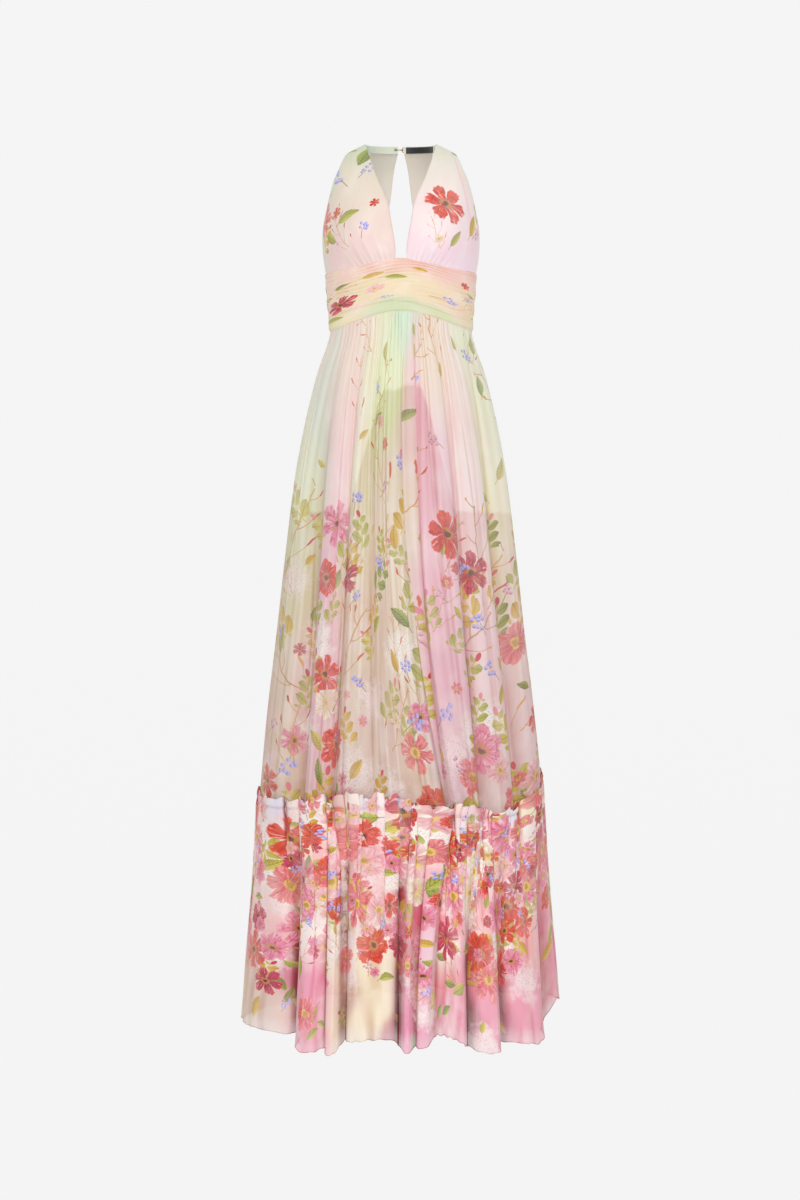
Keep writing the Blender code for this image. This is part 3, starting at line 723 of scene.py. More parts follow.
def draw_twig(finish):
    """A thin bare twig with side branches, each with a bud at its end."""
    x, y, kind = layer_of(finish, "twigs")
    waver = finish.noise(finish.vector(x, y, kind * 40), 2.5)
    x = bowed(x + (waver[0] - 0.5) * 0.2, y, kind, 0.4)
    side = x.math("ABSOLUTE")
    step = (y - side**1.5 * 2.1) * 1.45 + x.over(0, 0.001) * 0.5 + kind * 3
    into = (step.math("FRACT") - 0.5).math("ABSOLUTE") / 1.45
    tip = 0.30 + 0.16 * waver[1] - 0.14 * y
    within = y.math("ABSOLUTE").under(0.92, 0.02)
    branch = into.under(0.012, 0.018) * side.under(tip, 0.02)
    stem = side.under(0.012, 0.018) * y.under(0.75, 0.02)
    away = side - tip
    bud = (into * into * 2.2 + away * away).under(0.0062, 0.003)
    wood = finish.ramp(kind, WOOD)
    buds = finish.ramp((kind * 9).math("FRACT"), TWIG_BUDS, "CONSTANT")
    mask = branch.math("MAXIMUM", stem).math("MAXIMUM", bud) * within
    return mask, finish.mix(bud, wood, buds)


def leaf_colours(finish, kind, tone):
    """Greens, olives and mustards, darker where the tone is low."""
    pick = (kind * 7).math("FRACT")
    deep = finish.ramp(pick, DEEP_LEAVES, "CONSTANT")
    light = finish.ramp(pick, LIGHT_LEAVES, "CONSTANT")
    return finish.mix(tone, deep, light)


def draw_spray(finish):
    """A leafy stem that ends in a bud."""
    x, y, kind = layer_of(finish, "sprays")
    x = bowed(x, y, kind, 0.5)
    side = x.math("ABSOLUTE")
    step = (y - side * 0.7) * 1.7 + x.over(0, 0.001) * 0.5 + kind * 3
    into = (step.math("FRACT") - 0.5).math("ABSOLUTE")
    along = side / (0.52 - 0.2 * y)
    blade = (along * (1 - along) * 1.7 - into).over(0, 0.05) * y.under(0.62, 0.02)
    blade = blade * y.over(-0.8, 0.02)
    rib = into.under(0.03, 0.04)
    stem = side.under(0.024, 0.02) * y.under(0.7, 0.02)
    bud_y = (y - 0.76) / 1.8
    bud = (x * x + bud_y * bud_y).under(0.0095, 0.004)
    leaves = leaf_colours(finish, kind, 0.85 - along * 0.5 - rib * 0.5)
    buds = finish.ramp((kind * 11).math("FRACT"), SPRAY_BUDS, "CONSTANT")
    mask = blade.math("MAXIMUM", stem).math("MAXIMUM", bud) * y.over(-0.95, 0.02)
    return mask, finish.mix(bud, leaves, buds)


def draw_leaf(finish):
    """A single leaf on its stalk, with a midrib and side veins."""
    x, y, kind = layer_of(finish, "leaves")
    x = bowed(x, y, kind, 0.45)
    side = x.math("ABSOLUTE")
    blade_y = (y - 0.12) / 0.8
    notches = (y * 34).math("SINE") * 0.018
    width = (1 - blade_y * blade_y) * (0.36 - 0.1 * y) + notches
    blade = (width - side).over(0, 0.04)
    stalk = side.under(0.02, 0.02) * y.under(0, 0.02) * y.over(-0.97, 0.02)
    rib = side.under(0.022, 0.03)
    veins = ((y - side * 1.1) * 30).math("SINE").over(0.55, 0.5)
    tone = 0.62 + x * 1.1 - rib * 0.5 - veins * 0.3
    return blade.math("MAXIMUM", stalk), leaf_colours(finish, kind, tone)


def draw_berries(finish):
    """A loose cluster of small round florets on a thin stem."""
    x, y, kind = layer_of(finish, "berries")
    shift = kind * 37
    place = finish.vector(x * 3 + shift, y * 3 + shift)
    settings = {"voronoi_dimensions": "2D", "feature": "F1"}
    cells = finish.node("TexVoronoi", settings, {"Vector": place, "Scale": 1.0, "Randomness": 0.8})
    cell_x, cell_y, _ = finish.parts(cells.outputs["Position"])
    cell_x = (cell_x - shift) / 3
    cell_y = (cell_y - shift - 0.6) / 3
    from_centre = Value(finish, cells.outputs["Distance"])
    pick = finish.parts(cells.outputs["Color"])[0]
    bunch = (cell_x * cell_x * 2.2 + cell_y * cell_y).under(0.36, 0.01)
    floret = from_centre.under(0.44, 0.08) * bunch
    stem = bowed(x, y, kind, 0.2).math("ABSOLUTE").under(0.03, 0.03) * y.under(0, 0.02)
    stem = stem * y.over(-0.97, 0.02)
    blues = finish.mix(pick, "4458D6", "8E80E4")
    reds = finish.mix(pick, "B4283E", "E2657C")
    petals = finish.mix(kind.over(0.72, 0.001), blues, reds)
    lit = (x - cell_x) * 1.6 + (y - cell_y) * 1.6
    shaded = finish.mix((lit + 0.05).over(0.25, 0.3) * 0.55, petals, "E4E2FA")
    shaded = finish.mix((0 - lit).over(0.22, 0.3) * 0.65, shaded, "33337E")
    return floret.math("MAXIMUM", stem), finish.mix(floret, "97853F", shaded)


def draw_bloom(finish, layer, rings):
    """An open flower: rings of veined petals, the inner ones only on full flowers, and a heart."""
    x, y, kind = layer_of(finish, layer)
    waver = finish.noise(finish.vector(x, y, kind * 40), 2.2, 3)
    x = x + (waver[0] - 0.5) * 0.36
    y = y + (waver[1] - 0.5) * 0.36
    reach = (x * x + y * y) ** 0.5
    turn = y.math("ARCTAN2", x)
    outwards = finish.vector(x / reach * 4.5, y / reach * 4.5, reach * 1.5 + kind * 40)
    veins = finish.noise(outwards, 1.6, 3)
    pick = (kind * 3).math("FRACT")
    deep = finish.ramp(pick, DEEP_PETALS, "CONSTANT")
    light = finish.ramp(pick, LIGHT_PETALS, "CONSTANT")
    full = (kind * 13).math("FRACT").over(0.45, 0.001)
    parted = (kind * 17).math("FRACT").over(0.5, 0.001)
    mask, colour = None, light
    for spread, petals, phase in rings:
        lobe = (turn * (petals / 2) + kind * 11 + phase).math("COSINE").math("ABSOLUTE")
        edge = lobe**0.4 * 0.42 + 0.55 - lobe.under(0.26, 0.44) * parted * 0.36
        edge = (edge + (veins[1] - 0.5) * 0.34) * spread
        along = reach / edge
        tone = along * 0.7 + (veins[0] - 0.5) * 1.9 - lobe.under(0.2, 0.3) * along * 0.3
        shown = along.under(0.97, 0.07)
        petal = finish.mix(tone, deep, light)
        petal = finish.mix(veins[2].over(0.63, 0.08) * 0.45, petal, "FFF4EE")
        if mask is None:
            mask, colour = shown, petal
        else:
            rim = along.under(1.12, 0.16) - shown
            colour = finish.mix(rim * full * 0.5, colour, deep)
            colour = finish.mix(shown * full, colour, petal)
    heart = reach.under(0.12, 0.08)
    stamens = waver[2].over(0.42, 0.1) * reach.under(0.25, 0.08) * reach.over(0.12, 0.04)
    colour = finish.mix(heart, colour, finish.ramp(pick, HEARTS, "CONSTANT"))
    colour = finish.mix(stamens * 0.85, colour, finish.ramp(pick, STAMENS, "CONSTANT"))
    return mask, colour


def printed_cloth(name):
    """Sheer cloth with pools of colour run into it, and the motifs printed over them."""
    finish = Finish(
        name,
        Roughness=0.8,
        Sheen_Weight=0.15,
        Sheen_Roughness=0.4,
        Specular_IOR_Level=0.25,
    )
    across, down = finish.cut()
    pools = finish.noise(finish.vector(across * 22, down * 12), 1, 4)
    streaks = finish.noise(finish.vector(across * 420, down * 9), 1)
    colour = finish.mix(pools[0].over(0.58, 0.2) * 0.35, finish.drawn("wash", "Color"), "FBF4EC")
    colour = finish.mix(pools[1].over(0.62, 0.2) * 0.22, colour, "F3B9C6")
    ink = 1.0 - pools[2].over(0.55, 0.3) * 0.30
    layers = (
        draw_cloud(finish),
        draw_twig(finish),
        draw_spray(finish),
        draw_leaf(finish),
        draw_bloom(finish, "large_blooms", LARGE_BLOOM_RINGS),
        draw_berries(finish),
        draw_bloom(finish, "small_blooms", LARGE_BLOOM_RINGS[:1]),
    )
    for mask, motif in layers:
        colour = finish.mix(mask * ink, colour, motif)
    colour = finish.mix(streaks[0].over(0.5, 0.5) * 0.10, colour, "FFFFFF", "OVERLAY")
    # Painted shade: the print is darkened in the valleys of the folds as well.
    valley = Value(finish, finish.drawn("valley", "Fac"))
    colour = finish.mix(valley * VALLEY_SHADE_WEIGHT, colour, VALLEY_SHADE_TINT, "MULTIPLY")
    finish.give("Base Color", colour)
    finish.give("Alpha", finish.drawn("wash", "Alpha"))
    finish.woven(pitch=0.0008, strength=0.12)
    return finish.material


def sow(random, sowings, width, length):
    """Scatters motifs of each layer over a cut cloth, none too near another of its kind."""
    motifs = {}
    for sowing in sowings:
        kept = []
        for _ in range(sowing.tries):
            across, down, size, lean, kind, chance = random.random(6)
            across, down = width * (across - 0.5), length * down
            size = sowing.small + (sowing.large - sowing.small) * size
            likely = np.interp(down / length, (0, 1 / 3, 2 / 3, 1), sowing.chances)
            clear = all(
                math.hypot(across - m.across, down - m.down) > sowing.apart * (size + m.size) / 2
                for m in kept
            )
            if chance < likely and clear:
                kept.append(Motif(across, down, size, sowing.lean * (2 * lean - 1), kind))
        motifs[sowing.layer] = kept
    return motifs


def print_motifs(piece, motifs):
    """Gives each face its nearest motif of each layer: its corners hold where they lie on it."""
    mesh = piece.data
    cut = np.empty(2 * len(mesh.loops))
    mesh.uv_layers["cut"].data.foreach_get("uv", cut)
    corners = cut.reshape(-1, 4, 2)
    middles = corners.mean(axis=1)
    for layer, slender in MOTIF_LAYERS.items():
        nearest = np.ones(len(middles))
        local = np.tile(OFF_THE_MOTIF, (len(middles), 4, 1))
        for motif in motifs.get(layer, ()):
            lean = math.radians(motif.lean)
            turned = np.array([[math.cos(lean), math.sin(lean)], [math.sin(lean), -math.cos(lean)]])
            turned /= motif.size
            centre = np.array([motif.across, motif.down])
            place = (middles - centre) @ turned.T
            distance = np.hypot(place[:, 0] / slender, place[:, 1])
            near = distance < nearest
            nearest[near] = distance[near]
            local[near, :, :2] = (corners[near] - centre) @ turned.T
            local[near, :, 2] = motif.kind
        attribute = mesh.attributes.new(layer, "FLOAT_VECTOR", "CORNER")
        attribute.data.foreach_set("vector", local.astype(np.float32).ravel())


def hollows(points, reach):
    """How far each point lies behind its neighbours within a reach of columns, in millimetres."""
    radius = np.hypot(points[..., 0], points[..., 1])
    weights = np.hanning(2 * reach + 1)
    around = np.pad(radius, ((0, 0), (reach, reach)), mode="edge")
    smooth = np.array([np.convolve(row, weights / weights.sum(), mode="valid") for row in around])
    return smooth - radius


def strayed(about, strays, first, second):
    """A value with a few waves added, at two measures of a place."""
    return sum((s.size * np.sin(s.first * first + s.second * second) for s in strays), about)


def wash_over(piece, washes, ground, across, down, body, doubled=0.0):
    """Colours each point of a piece with the pools of colour round it. Body is its opacity, and
    doubled is painted shade: the colour deepens in the valleys of the folds, partly as doubled
    sheer cloth does, and pales where doubled is below 0, a painted highlight."""
    wander_across = strayed(across, POOL_WANDER_ACROSS, across, down)
    wander_down = strayed(down, POOL_WANDER_DOWN, across, down)
    total = np.full(across.shape + (1,), GROUND_WEIGHT)
    colour = total * np.array(linear(ground)[:3])
    for wash in washes:
        far = ((wander_across - wash.across) / wash.wide) ** 2
        far = far + ((wander_down - wash.down) / wash.tall) ** 2
        weight = np.exp(-(far**1.2))[..., None]
        colour = colour + weight * np.array(linear(wash.colour)[:3])
        total = total + weight
    body = np.broadcast_to(body, across.shape)[..., None]
    doubled = np.broadcast_to(doubled, across.shape)[..., None]
    colour = (colour / total) ** (1 + doubled) * (1 - np.array(VALLEY_SHADE) * doubled)
    colour = np.minimum(colour, BRIGHTEST)
    rgba = np.concatenate([colour, body], axis=-1)
    attribute = piece.data.attributes.new("wash", "FLOAT_COLOR", "POINT")
    attribute.data.foreach_set("color", rgba.astype(np.float32).ravel())
    # The painted shade again, without the highlight, so that the print darkens in the valleys too.
    attribute = piece.data.attributes.new("valley", "FLOAT", "POINT")
    valley = np.clip(doubled, 0, VALLEY_MOST)
    attribute.data.foreach_set("value", valley.astype(np.float32).ravel())


def uneven(i, phase):
    """Between -1 and 1, and different from fold to fold."""
    return math.sin(2.1 * i + phase)


def back_folds():
    """The skirt's folds behind, spaced nearly evenly."""
    folds = []
    turns = 2 * SKIRT_BACK_RIDGES
    for i in range(turns + 1):
        inner = 0 < i < turns
        way = -math.cos(math.pi * i) * inner
        stray = BACK_FOLD_STRAY * inner
        angle = LEFT_SEAM + 180 * i / turns + stray * uneven(i, 0)
        folds.append(
            Fold(
                cloth=100 * i / turns,
                top_angle=angle,
                mid_angle=angle + stray / 2 * uneven(i, 1),
                seam_angle=angle + stray * uneven(i, 2),
                mid_out=way * SKIRT_BACK_MID_OUT * (1 + BACK_SIZE_STRAY * uneven(i, 3)),
                seam_out=way * SKIRT_BACK_SEAM_OUT * (1 + BACK_SIZE_STRAY * uneven(i, 4)),
            )
        )
    return tuple(folds)


def back_creases():
    """Small creases behind, alternately raised and sunk, which start and end unevenly."""
    creases = []
    for i in range(SKIRT_BACK_CREASES):
        way = 1 if i % 2 else -1
        creases.append(
            Crease(
                cloth=6 + 5.5 * i + uneven(i, 3),
                drift=1.2 * uneven(i, 4),
                start=0.15 + 0.13 * uneven(i, 1),
                end=0.82 + 0.2 * uneven(i, 2),
                depth=way * (1.6 + 0.4 * uneven(i, 5)),
                width=0.8,
            )
        )
    return tuple(creases)


def fine_creases(count, seed):
    """Narrow creases scattered over a cloth, alternately raised and sunk."""
    random = np.random.default_rng(seed)
    creases = []
    for i in range(count):
        cloth, drift, start, length, depth = random.random(5)
        start = 0.85 * start - 0.1
        way = 1 if i % 2 else -1
        creases.append(
            Crease(
                cloth=100 * (i + cloth) / count,
                drift=3 * drift - 1.5,
                start=start,
                end=start + 0.25 + 0.6 * length,
                depth=way * (0.6 + 0.9 * depth),
                width=0.30 + 0.2 * length,
            )
        )
    return tuple(creases)


def bell(distance):
    """1 at no distance, falling to 0 on both sides."""
    return np.exp(-(distance**2))


def creased(creases, across, down):
    """How far the small creases raise the cloth. Each swells from its start and dies at its end."""
    raised = 0 * across
    for crease in creases:
        share = (down - crease.start) / (crease.end - crease.start)
        swell = np.sin(np.pi * np.clip(share, 0, 1)) ** 0.7
        from_line = 100 * across - crease.cloth - crease.drift * share
        raised = raised + crease.depth * swell * bell(from_line / crease.width)
    return raised


def gathered(gatherings, across, below):
    """Small waves below a gathered seam, each kind dying out in its own way: how far they raise
    the cloth, and how far they move it sideways."""
    raised, moved = 0 * across, 0 * across
    for i, kind in enumerate(gatherings):
        phase = 2 * np.pi * kind.count * (across + strayed(0, GATHER_STRAYS, across, i))
        size = GATHER_SIZE + GATHER_SIZE_STRAY * np.sin(39 * across + 1.7 * i + 2 * below)
        size = size * np.exp(-kind.fade * below)
        raised = raised + kind.depth * size * (0.5 - 0.5 * np.cos(phase))
        moved = moved - kind.lean * size * np.sin(phase)
    return raised, moved


def between(first, middle, last, middle_at, share):
    """The curve through three values, the middle one at a given share."""
    to_first = (share - middle_at) * (share - 1) / middle_at
    to_middle = share * (share - 1) / (middle_at * (middle_at - 1))
    to_last = share * (share - middle_at) / (1 - middle_at)
    return first * to_first + middle * to_middle + last * to_last


def leaned_under(angle, out, radius, amount, steepest_fall=STEEPEST):
    """Moves the sides of each fold under its ridge: ridges grow broad and valleys narrow."""
    along = np.radians(np.gradient(angle, axis=1)) * radius
    slope = np.gradient(out, axis=1) / np.where(np.abs(along) < 1e-6, 1e-6, along)
    slope = np.clip(slope, -steepest_fall, STEEPEST)
    return angle - np.degrees(amount * slope / radius)


def skirt_place(folds, across, down):
    """The angle, and how far out, the skirt's cloth lies at shares across and down its cut."""
    top, mid, seam, mid_out, seam_out = read(folds, 100 * across)
    angle = between(top, mid, seam, SKIRT_MID, down)
    return angle, between(0, mid_out, seam_out, SKIRT_MID, down)


def off_the_seams(across, steepness):
    """0 at both side seams and 1 between them, so that front and back meet there."""
    return np.clip(steepness * across * (1 - across), 0, 1)


def skirt_half(place, folds, creases):
    """A front or a back of the skirt, from behind the waistband down to the flounce's seam."""
    down, across = shares(*SKIRT_MESH[place])
    angle, out = skirt_place(folds, across, down)
    fullness = BACK_FULLNESS
    if place == "front":
        fullness = SIDE_FULLNESS + MORE_FULLNESS * bell((across - FULLEST_AT) / FULLNESS_WIDTH)
    raised, moved = gathered(SKIRT_GATHERS, across, down)
    small = fullness * raised + creased(creases, across, down)
    small = small * (1 - bell(down / SEWN_FLAT))
    faint = ripples(across, SKIRT_RIPPLES, SKIRT_RIPPLE_STRAY, 5 * down + 7 * across)
    small = small + SKIRT_RIPPLE_DEPTH * down * faint
    ends = off_the_seams(across, 12)
    top = band_foot(angle) - SKIRT_TUCK
    seam_drop = read(SEAM, angle)[0]
    foot = seam_drop + STITCHED_BELOW + SEAM_EDGE
    drop = top + (foot - top) * down
    radius = read(GIRTHS, drop)[0]
    angle = leaned_under(angle, out * ends, radius, TURN_UNDER * ends)
    angle = angle + np.degrees(fullness * moved * ends / radius)
    points = girth_point(angle, drop, out + small * ends)
    width = SKIRT_TOP_WIDTH + (SKIRT_FOOT_WIDTH - SKIRT_TOP_WIDTH) * down
    return points, cut_flat(width, SKIRT_LENGTH, across, down), across, down


def skirt_painted_shade(points, down):
    """The painted shade in the skirt's colour: deeper in its folds, partly as doubled chiffon is,
    below its lining's hem and towards its foot, and paler on its ridges, a painted highlight.
    """
    sunk = hollows(points, FOLD_REACH) + BROAD_SHARE * hollows(points, BROAD_REACH)
    doubled = SUNK_SHADE * np.clip(sunk, SUNK_LEAST, SUNK_MOST)
    doubled = doubled * (WAIST_SHADE_SHARE + WAIST_EVEN * step_up(down, 0.2, 0.4))
    doubled = doubled + FOOT_SHADE * (down - FOOT_SHADE_FROM)
    crisp = CREASE_SHADE * (1 + WAIST_CRISP * np.exp(-CRISP_FADE * down))
    doubled = doubled + crisp * np.clip(hollows(points, CREASE_REACH), CREASE_LEAST, CREASE_MOST)
    turned = np.degrees(np.arctan2(points[..., 0], -points[..., 1]))
    unlined_shade = step_up(-points[..., 2], lining_hem_drop(turned), UNLINED_SHADE_BLUR)
    return np.maximum(doubled, RIDGE_HIGHLIGHT) + UNLINED_SHADE * unlined_shade


SKIRT_SIDES = {
    "front": (SKIRT_FRONT_FOLDS, SKIRT_FRONT_CREASES + fine_creases(64, 1), SKIRT_FRONT_WASHES, 5),
    "back": (back_folds(), back_creases() + fine_creases(50, 2), SKIRT_BACK_WASHES, 6),
}
skirt_finish = printed_cloth("printed_chiffon")
for place, (folds, creases, washes, seed) in SKIRT_SIDES.items():
    points, cut, across, down = skirt_half(place, folds, creases)
    skirt = make_cloth("skirt_" + place, points, cut, skirt_finish)
    body = SKIRT_BODY + (SKIRT_FOOT_BODY - SKIRT_BODY) * down
    doubled = skirt_painted_shade(points, down)
    wash_over(skirt, washes, CHIFFON_GROUND, 100 * across, down, body, doubled)
    random = np.random.default_rng(seed)
    print_motifs(skirt, sow(random, SKIRT_SOWINGS, SKIRT_FOOT_WIDTH, SKIRT_LENGTH))
    put_in_place(skirt, "printed_chiffon", "skirt_" + place)
    "waistband_" + place

# ------------------------------------------------------------
# Flounce. A straight strip of chiffon with a dense border print, gathered onto the skirt's lower
# edge a little below its own top, which stands up as a small frill. Its hem is a rolled edge.
# ------------------------------------------------------------

HEM_DROP = 1470
FLOUNCE_WIDTH, FLOUNCE_LENGTH = 1.12, 0.41  # cut of each half, in metres
HEADING_SHARE = 0.034  # of the cut's length
FLOUNCE_MESH = {"front": (150, 560), "back": (120, 420)}
ROWS_CROWD = 1.15  # how much closer its rows lie near the thread
SEAM_RADIUS, GATHER_RADIUS, HEM_RADIUS = 230, 235, 250  # to turn distances into angles
FLOUNCE_OFF_SKIRT, OFF_SKIRT_FADE = 2.0, 4
FLOUNCE_GATHERS = (
    Gathering(67, 2.2, 5, 2.3),
    Gathering(44, 3.0, 3.2, 4.0),
    Gathering(29, 3.0, 2.2, 4.8),
    Gathering(19, 2.6, 1.6, 5.6),
)
PINCH, PINCH_BELOW, PINCH_ABOVE = 0.28, 0.03, 0.3  # how the thread holds the gathers down
BITE, BITE_BELOW, BITE_ABOVE = 1.2, 0.014, 0.13  # and the groove that it cuts
GATHER_STITCHES = (2.5, 3.3, 0.3)  # length, spacing and radius
HEADING_ROWS = 9
FRILL_FLARE, FRILL_BULGE = 0.25, 0.4  # how the pleats widen above the thread, and its puff
FRILL_STEADY = 0.35  # how much less they lean sideways there
FRILL_HEIGHT, FRILL_RAG = 0.95, 0.24  # share of its full height, and how that changes along it
FRILL_RAGS = (Stray(0.14, 190, 0), Stray(0.10, 431, 0))
FRILL_LEAN = 0.55  # the frill's share of the lean that its solid has
FRILL_AT_SEAMS = 0.30  # its share of the height where the side seams catch it
HEM_TURN_UNDER, OPEN_SIDE = 3.2, 0.1  # each fold leans over the valley on its right only
HEM_CURLS, HEM_CURL_DEPTH, HEM_CURL_STRAY, HEM_CURL_FADE = 34, 1.5, 0.9, 22
HEM_SCALLOPS, HEM_SMALL_SCALLOPS = 44, 0.3
FLOUNCE_RIPPLES, FLOUNCE_RIPPLE_DEPTH, FLOUNCE_RIPPLE_STRAY = 33, 0.6, 0.5
ROLL_RADIUS, ROLL_TURN, ROLL_ROWS = 0.65, 1.7 * math.pi, 5  # both edges of the strip are rolled

# The flounce's own folds at its hem. A hem that is longer hangs below HEM_DROP.
Wave = namedtuple("Wave", "cloth hem_angle hem_out longer")
FLOUNCE_FRONT_WAVES = (
    Wave(0, -90, 2, -4),
    Wave(4, -75, 6, -6),
    Wave(8.5, -57, 9, -8),
    Wave(11, -46, 4, -7),
    Wave(13, -41.8, -19, -6),
    Wave(16, -38, 8, 12),
    Wave(21, -31, 12, 15),
    Wave(25, -27.5, -2, 8),
    Wave(29, -24, 14, 17),
    Wave(33, -20.8, -18, -4),
    Wave(36, -17.5, 7, -4),
    Wave(40, -10, 10, -9),
    Wave(43.5, -3.8, 6, -9),
    Wave(46, -0.8, -19, 1),
    Wave(48.5, 2.2, 10, 11),
    Wave(51.5, 5.2, -7, 3),
    Wave(54.5, 8, 10, 4),
    Wave(58, 12, -4, -12),
    Wave(63, 17, 8, -12),
    Wave(68, 22.5, 8, 3),
    Wave(72, 25.8, -18, 6),
    Wave(76, 30, 12, 16),
    Wave(80, 36, 9, 15),
    Wave(82.5, 39, -14, 6),
    Wave(87, 46, 7, 8),
    Wave(92, 58, 9, 11),
    Wave(95, 70, -15, -5),
    Wave(100, 90, 3, -40),
)
FLOUNCE_BACK_RIDGES, FLOUNCE_BACK_OUT, FLOUNCE_BACK_LONGER = 9, 12.5, 7

FLOUNCE_FRONT_WASHES = (
    Wash(3, 0.06, 6, 0.10, "E58A90"),
    Wash(8, 0.20, 5, 0.16, "F3DFD2"),
    Wash(6, 0.45, 6, 0.16, "F1C2BC"),
    Wash(8, 0.62, 6, 0.10, "E9A5A5"),
    Wash(5, 0.88, 7, 0.14, "E9D8C8"),
    # Painted shade in the deep valley of a fold at the hem.
    Wash(13, 0.40, 2.0, 0.50, "BE6E7C"),
    Wash(18, 0.12, 4, 0.10, "F2E8C8"),
    Wash(22, 0.30, 6, 0.14, "EE8A90"),
    Wash(22, 0.56, 6, 0.09, "F9F1E6"),
    Wash(20, 0.82, 7, 0.20, "EFA0BA"),
    Wash(28, 0.20, 3, 0.18, "E8606E"),
    Wash(29, 0.55, 3, 0.10, "F8F0E4"),
    Wash(30, 0.82, 3, 0.20, "F3E2C4"),
    # Painted shade in the deep valley of a fold at the hem.
    Wash(33, 0.50, 2.4, 0.55, "C08A7C"),
    Wash(39, 0.10, 4, 0.10, "F0A0A4"),
    Wash(40, 0.28, 4, 0.12, "EE8C98"),
    Wash(41, 0.42, 4, 0.08, "F3B4B4"),
    Wash(40, 0.72, 5, 0.24, "F6EACB"),
    # Painted shade in the deep valley of a fold at the hem.
    Wash(46, 0.50, 2.2, 0.60, "B9606C"),
    Wash(49, 0.20, 2, 0.16, "F4D8B0"),
    Wash(49, 0.42, 2.5, 0.14, "E67C98"),
    Wash(49, 0.64, 2, 0.08, "F3E8F0"),
    Wash(49, 0.86, 3, 0.16, "EB90B2"),
    Wash(53, 0.15, 2.5, 0.14, "F6F0DC"),
    Wash(53, 0.40, 3, 0.16, "E988A2"),
    Wash(53.5, 0.62, 2, 0.10, "F0D0DC"),
    Wash(53, 0.85, 3.5, 0.18, "EC9CBA"),
    Wash(58, 0.30, 3, 0.14, "F0A0A0"),
    Wash(61, 0.44, 4, 0.14, "EE8A9C"),
    Wash(61, 0.62, 4, 0.09, "F9F3EA"),
    Wash(62, 0.74, 4, 0.08, "F0A8AC"),
    Wash(62, 0.90, 5, 0.12, "EBA0B6"),
    Wash(69, 0.30, 2, 0.30, "F3C8C4"),
    Wash(69, 0.75, 2.5, 0.30, "EB9CB0"),
    # Painted shade in the deep valley of a fold at the hem.
    Wash(72, 0.50, 2.0, 0.60, "B46C7E"),
    Wash(77, 0.20, 3, 0.14, "F4ECDC"),
    Wash(77, 0.50, 3, 0.18, "F0A2A4"),
    Wash(77, 0.80, 3.5, 0.18, "F0A6BA"),
    # Painted shade in the deep valley of a fold at the hem.
    Wash(82.5, 0.60, 2.0, 0.50, "C4889A"),
    Wash(87, 0.25, 4, 0.16, "F3DCCB"),
    Wash(88, 0.50, 5, 0.16, "F2AFA8"),
    Wash(88, 0.82, 5, 0.20, "EE9EB2"),
    Wash(97, 0.30, 4, 0.22, "F0C0BC"),
    Wash(97, 0.75, 4, 0.22, "EFA0B4"),
)
FLOUNCE_BACK_WASHES = tuple(
    Wash(
        3 + 9.4 * i + 2 * uneven(i, row),
        0.14 + 0.24 * row + 0.04 * uneven(i, 2 + row),
        5.5,
        0.15,
        colours[(i + row) % len(colours)],
    )
    for row, colours in enumerate(
        (
            ("F2E8D8", "EE8A90", "F3DFD2"),
            ("EE8C98", "F9F1E6", "F1C2BC"),
            ("E988A2", "F6EACB", "F0A8AC", "F8F0E6"),
            ("EFA0BA", "F3E2C4", "EBA0B6"),
        )
    )
    for i in range(11)
)
# Small pools of many colours along the top of the strip, which its pleats break up.
FRILL_WASHES = tuple(
    Wash(2 + 3.1 * i + uneven(i, 5), 0.035 + 0.02 * uneven(i, 6), 1.5, 0.07, colour)
    for i, colour in enumerate(
        ("FBF3E8", "EE9BA0", "F9EEDC", "C9D2F0", "FBF1EA", "F2DC9C", "F8D5D8", "FAF2E6") * 4
    )
)
FLOUNCE_GROUND = "F0C4C4"
# Painted shade in the folds and gathers; the colour is also deeper towards the foot and where the
# edges are rolled.
FLOUNCE_FOLD_SHADE, FLOUNCE_FOOT_DEEPER, ROLL_DOUBLED = 0.30, 0.40, 0.04
# Painted shade in the groove under the thread; the skirt's caught edge is deeper in colour too.
THREAD_SHADE, EDGE_DOUBLED = 0.3, 0.3  # under the thread, and on the skirt's caught edge
FLOUNCE_BROAD_REACH, FLOUNCE_BROAD_SHARE = 24, 0.45
# Painted shade in the gathers near the heading.
GATHERS_CRISP = 1.5  # how much more the gathers near the heading darken
FLOUNCE_BODY, HEM_BODY, ROLL_BODY = 0.90, 0.66, 0.84
MARGIN_FROM, MARGIN_FADE = 0.93, 0.05  # the unprinted margin along the hem is the sheerest

FLOUNCE_SOWINGS = (
    Sowing("clouds", 200, (0.7, 0.9, 0.3, 0.0), 0.026, 0.046, 0.9, 180),
    Sowing("twigs", 50, (0.1, 0.3, 0.7, 0.3), 0.035, 0.055, 1.2, 60),
    Sowing("sprays", 150, (0.8, 0.8, 0.2, 0.1), 0.024, 0.038, 1.0, 70),
    Sowing("leaves", 320, (1.0, 1.0, 0.40, 0.30), 0.014, 0.030, 1.0, 180),
    Sowing("berries", 170, (1.0, 0.7, 0.25, 0.0), 0.013, 0.022, 1.4, 70),
    Sowing("large_blooms", 330, (0.70, 1.0, 0.12, 0.0), 0.024, 0.046, 0.85, 180),
    Sowing("small_blooms", 220, (1.0, 0.8, 0.2, 0.0), 0.009, 0.017, 1.5, 180),
)


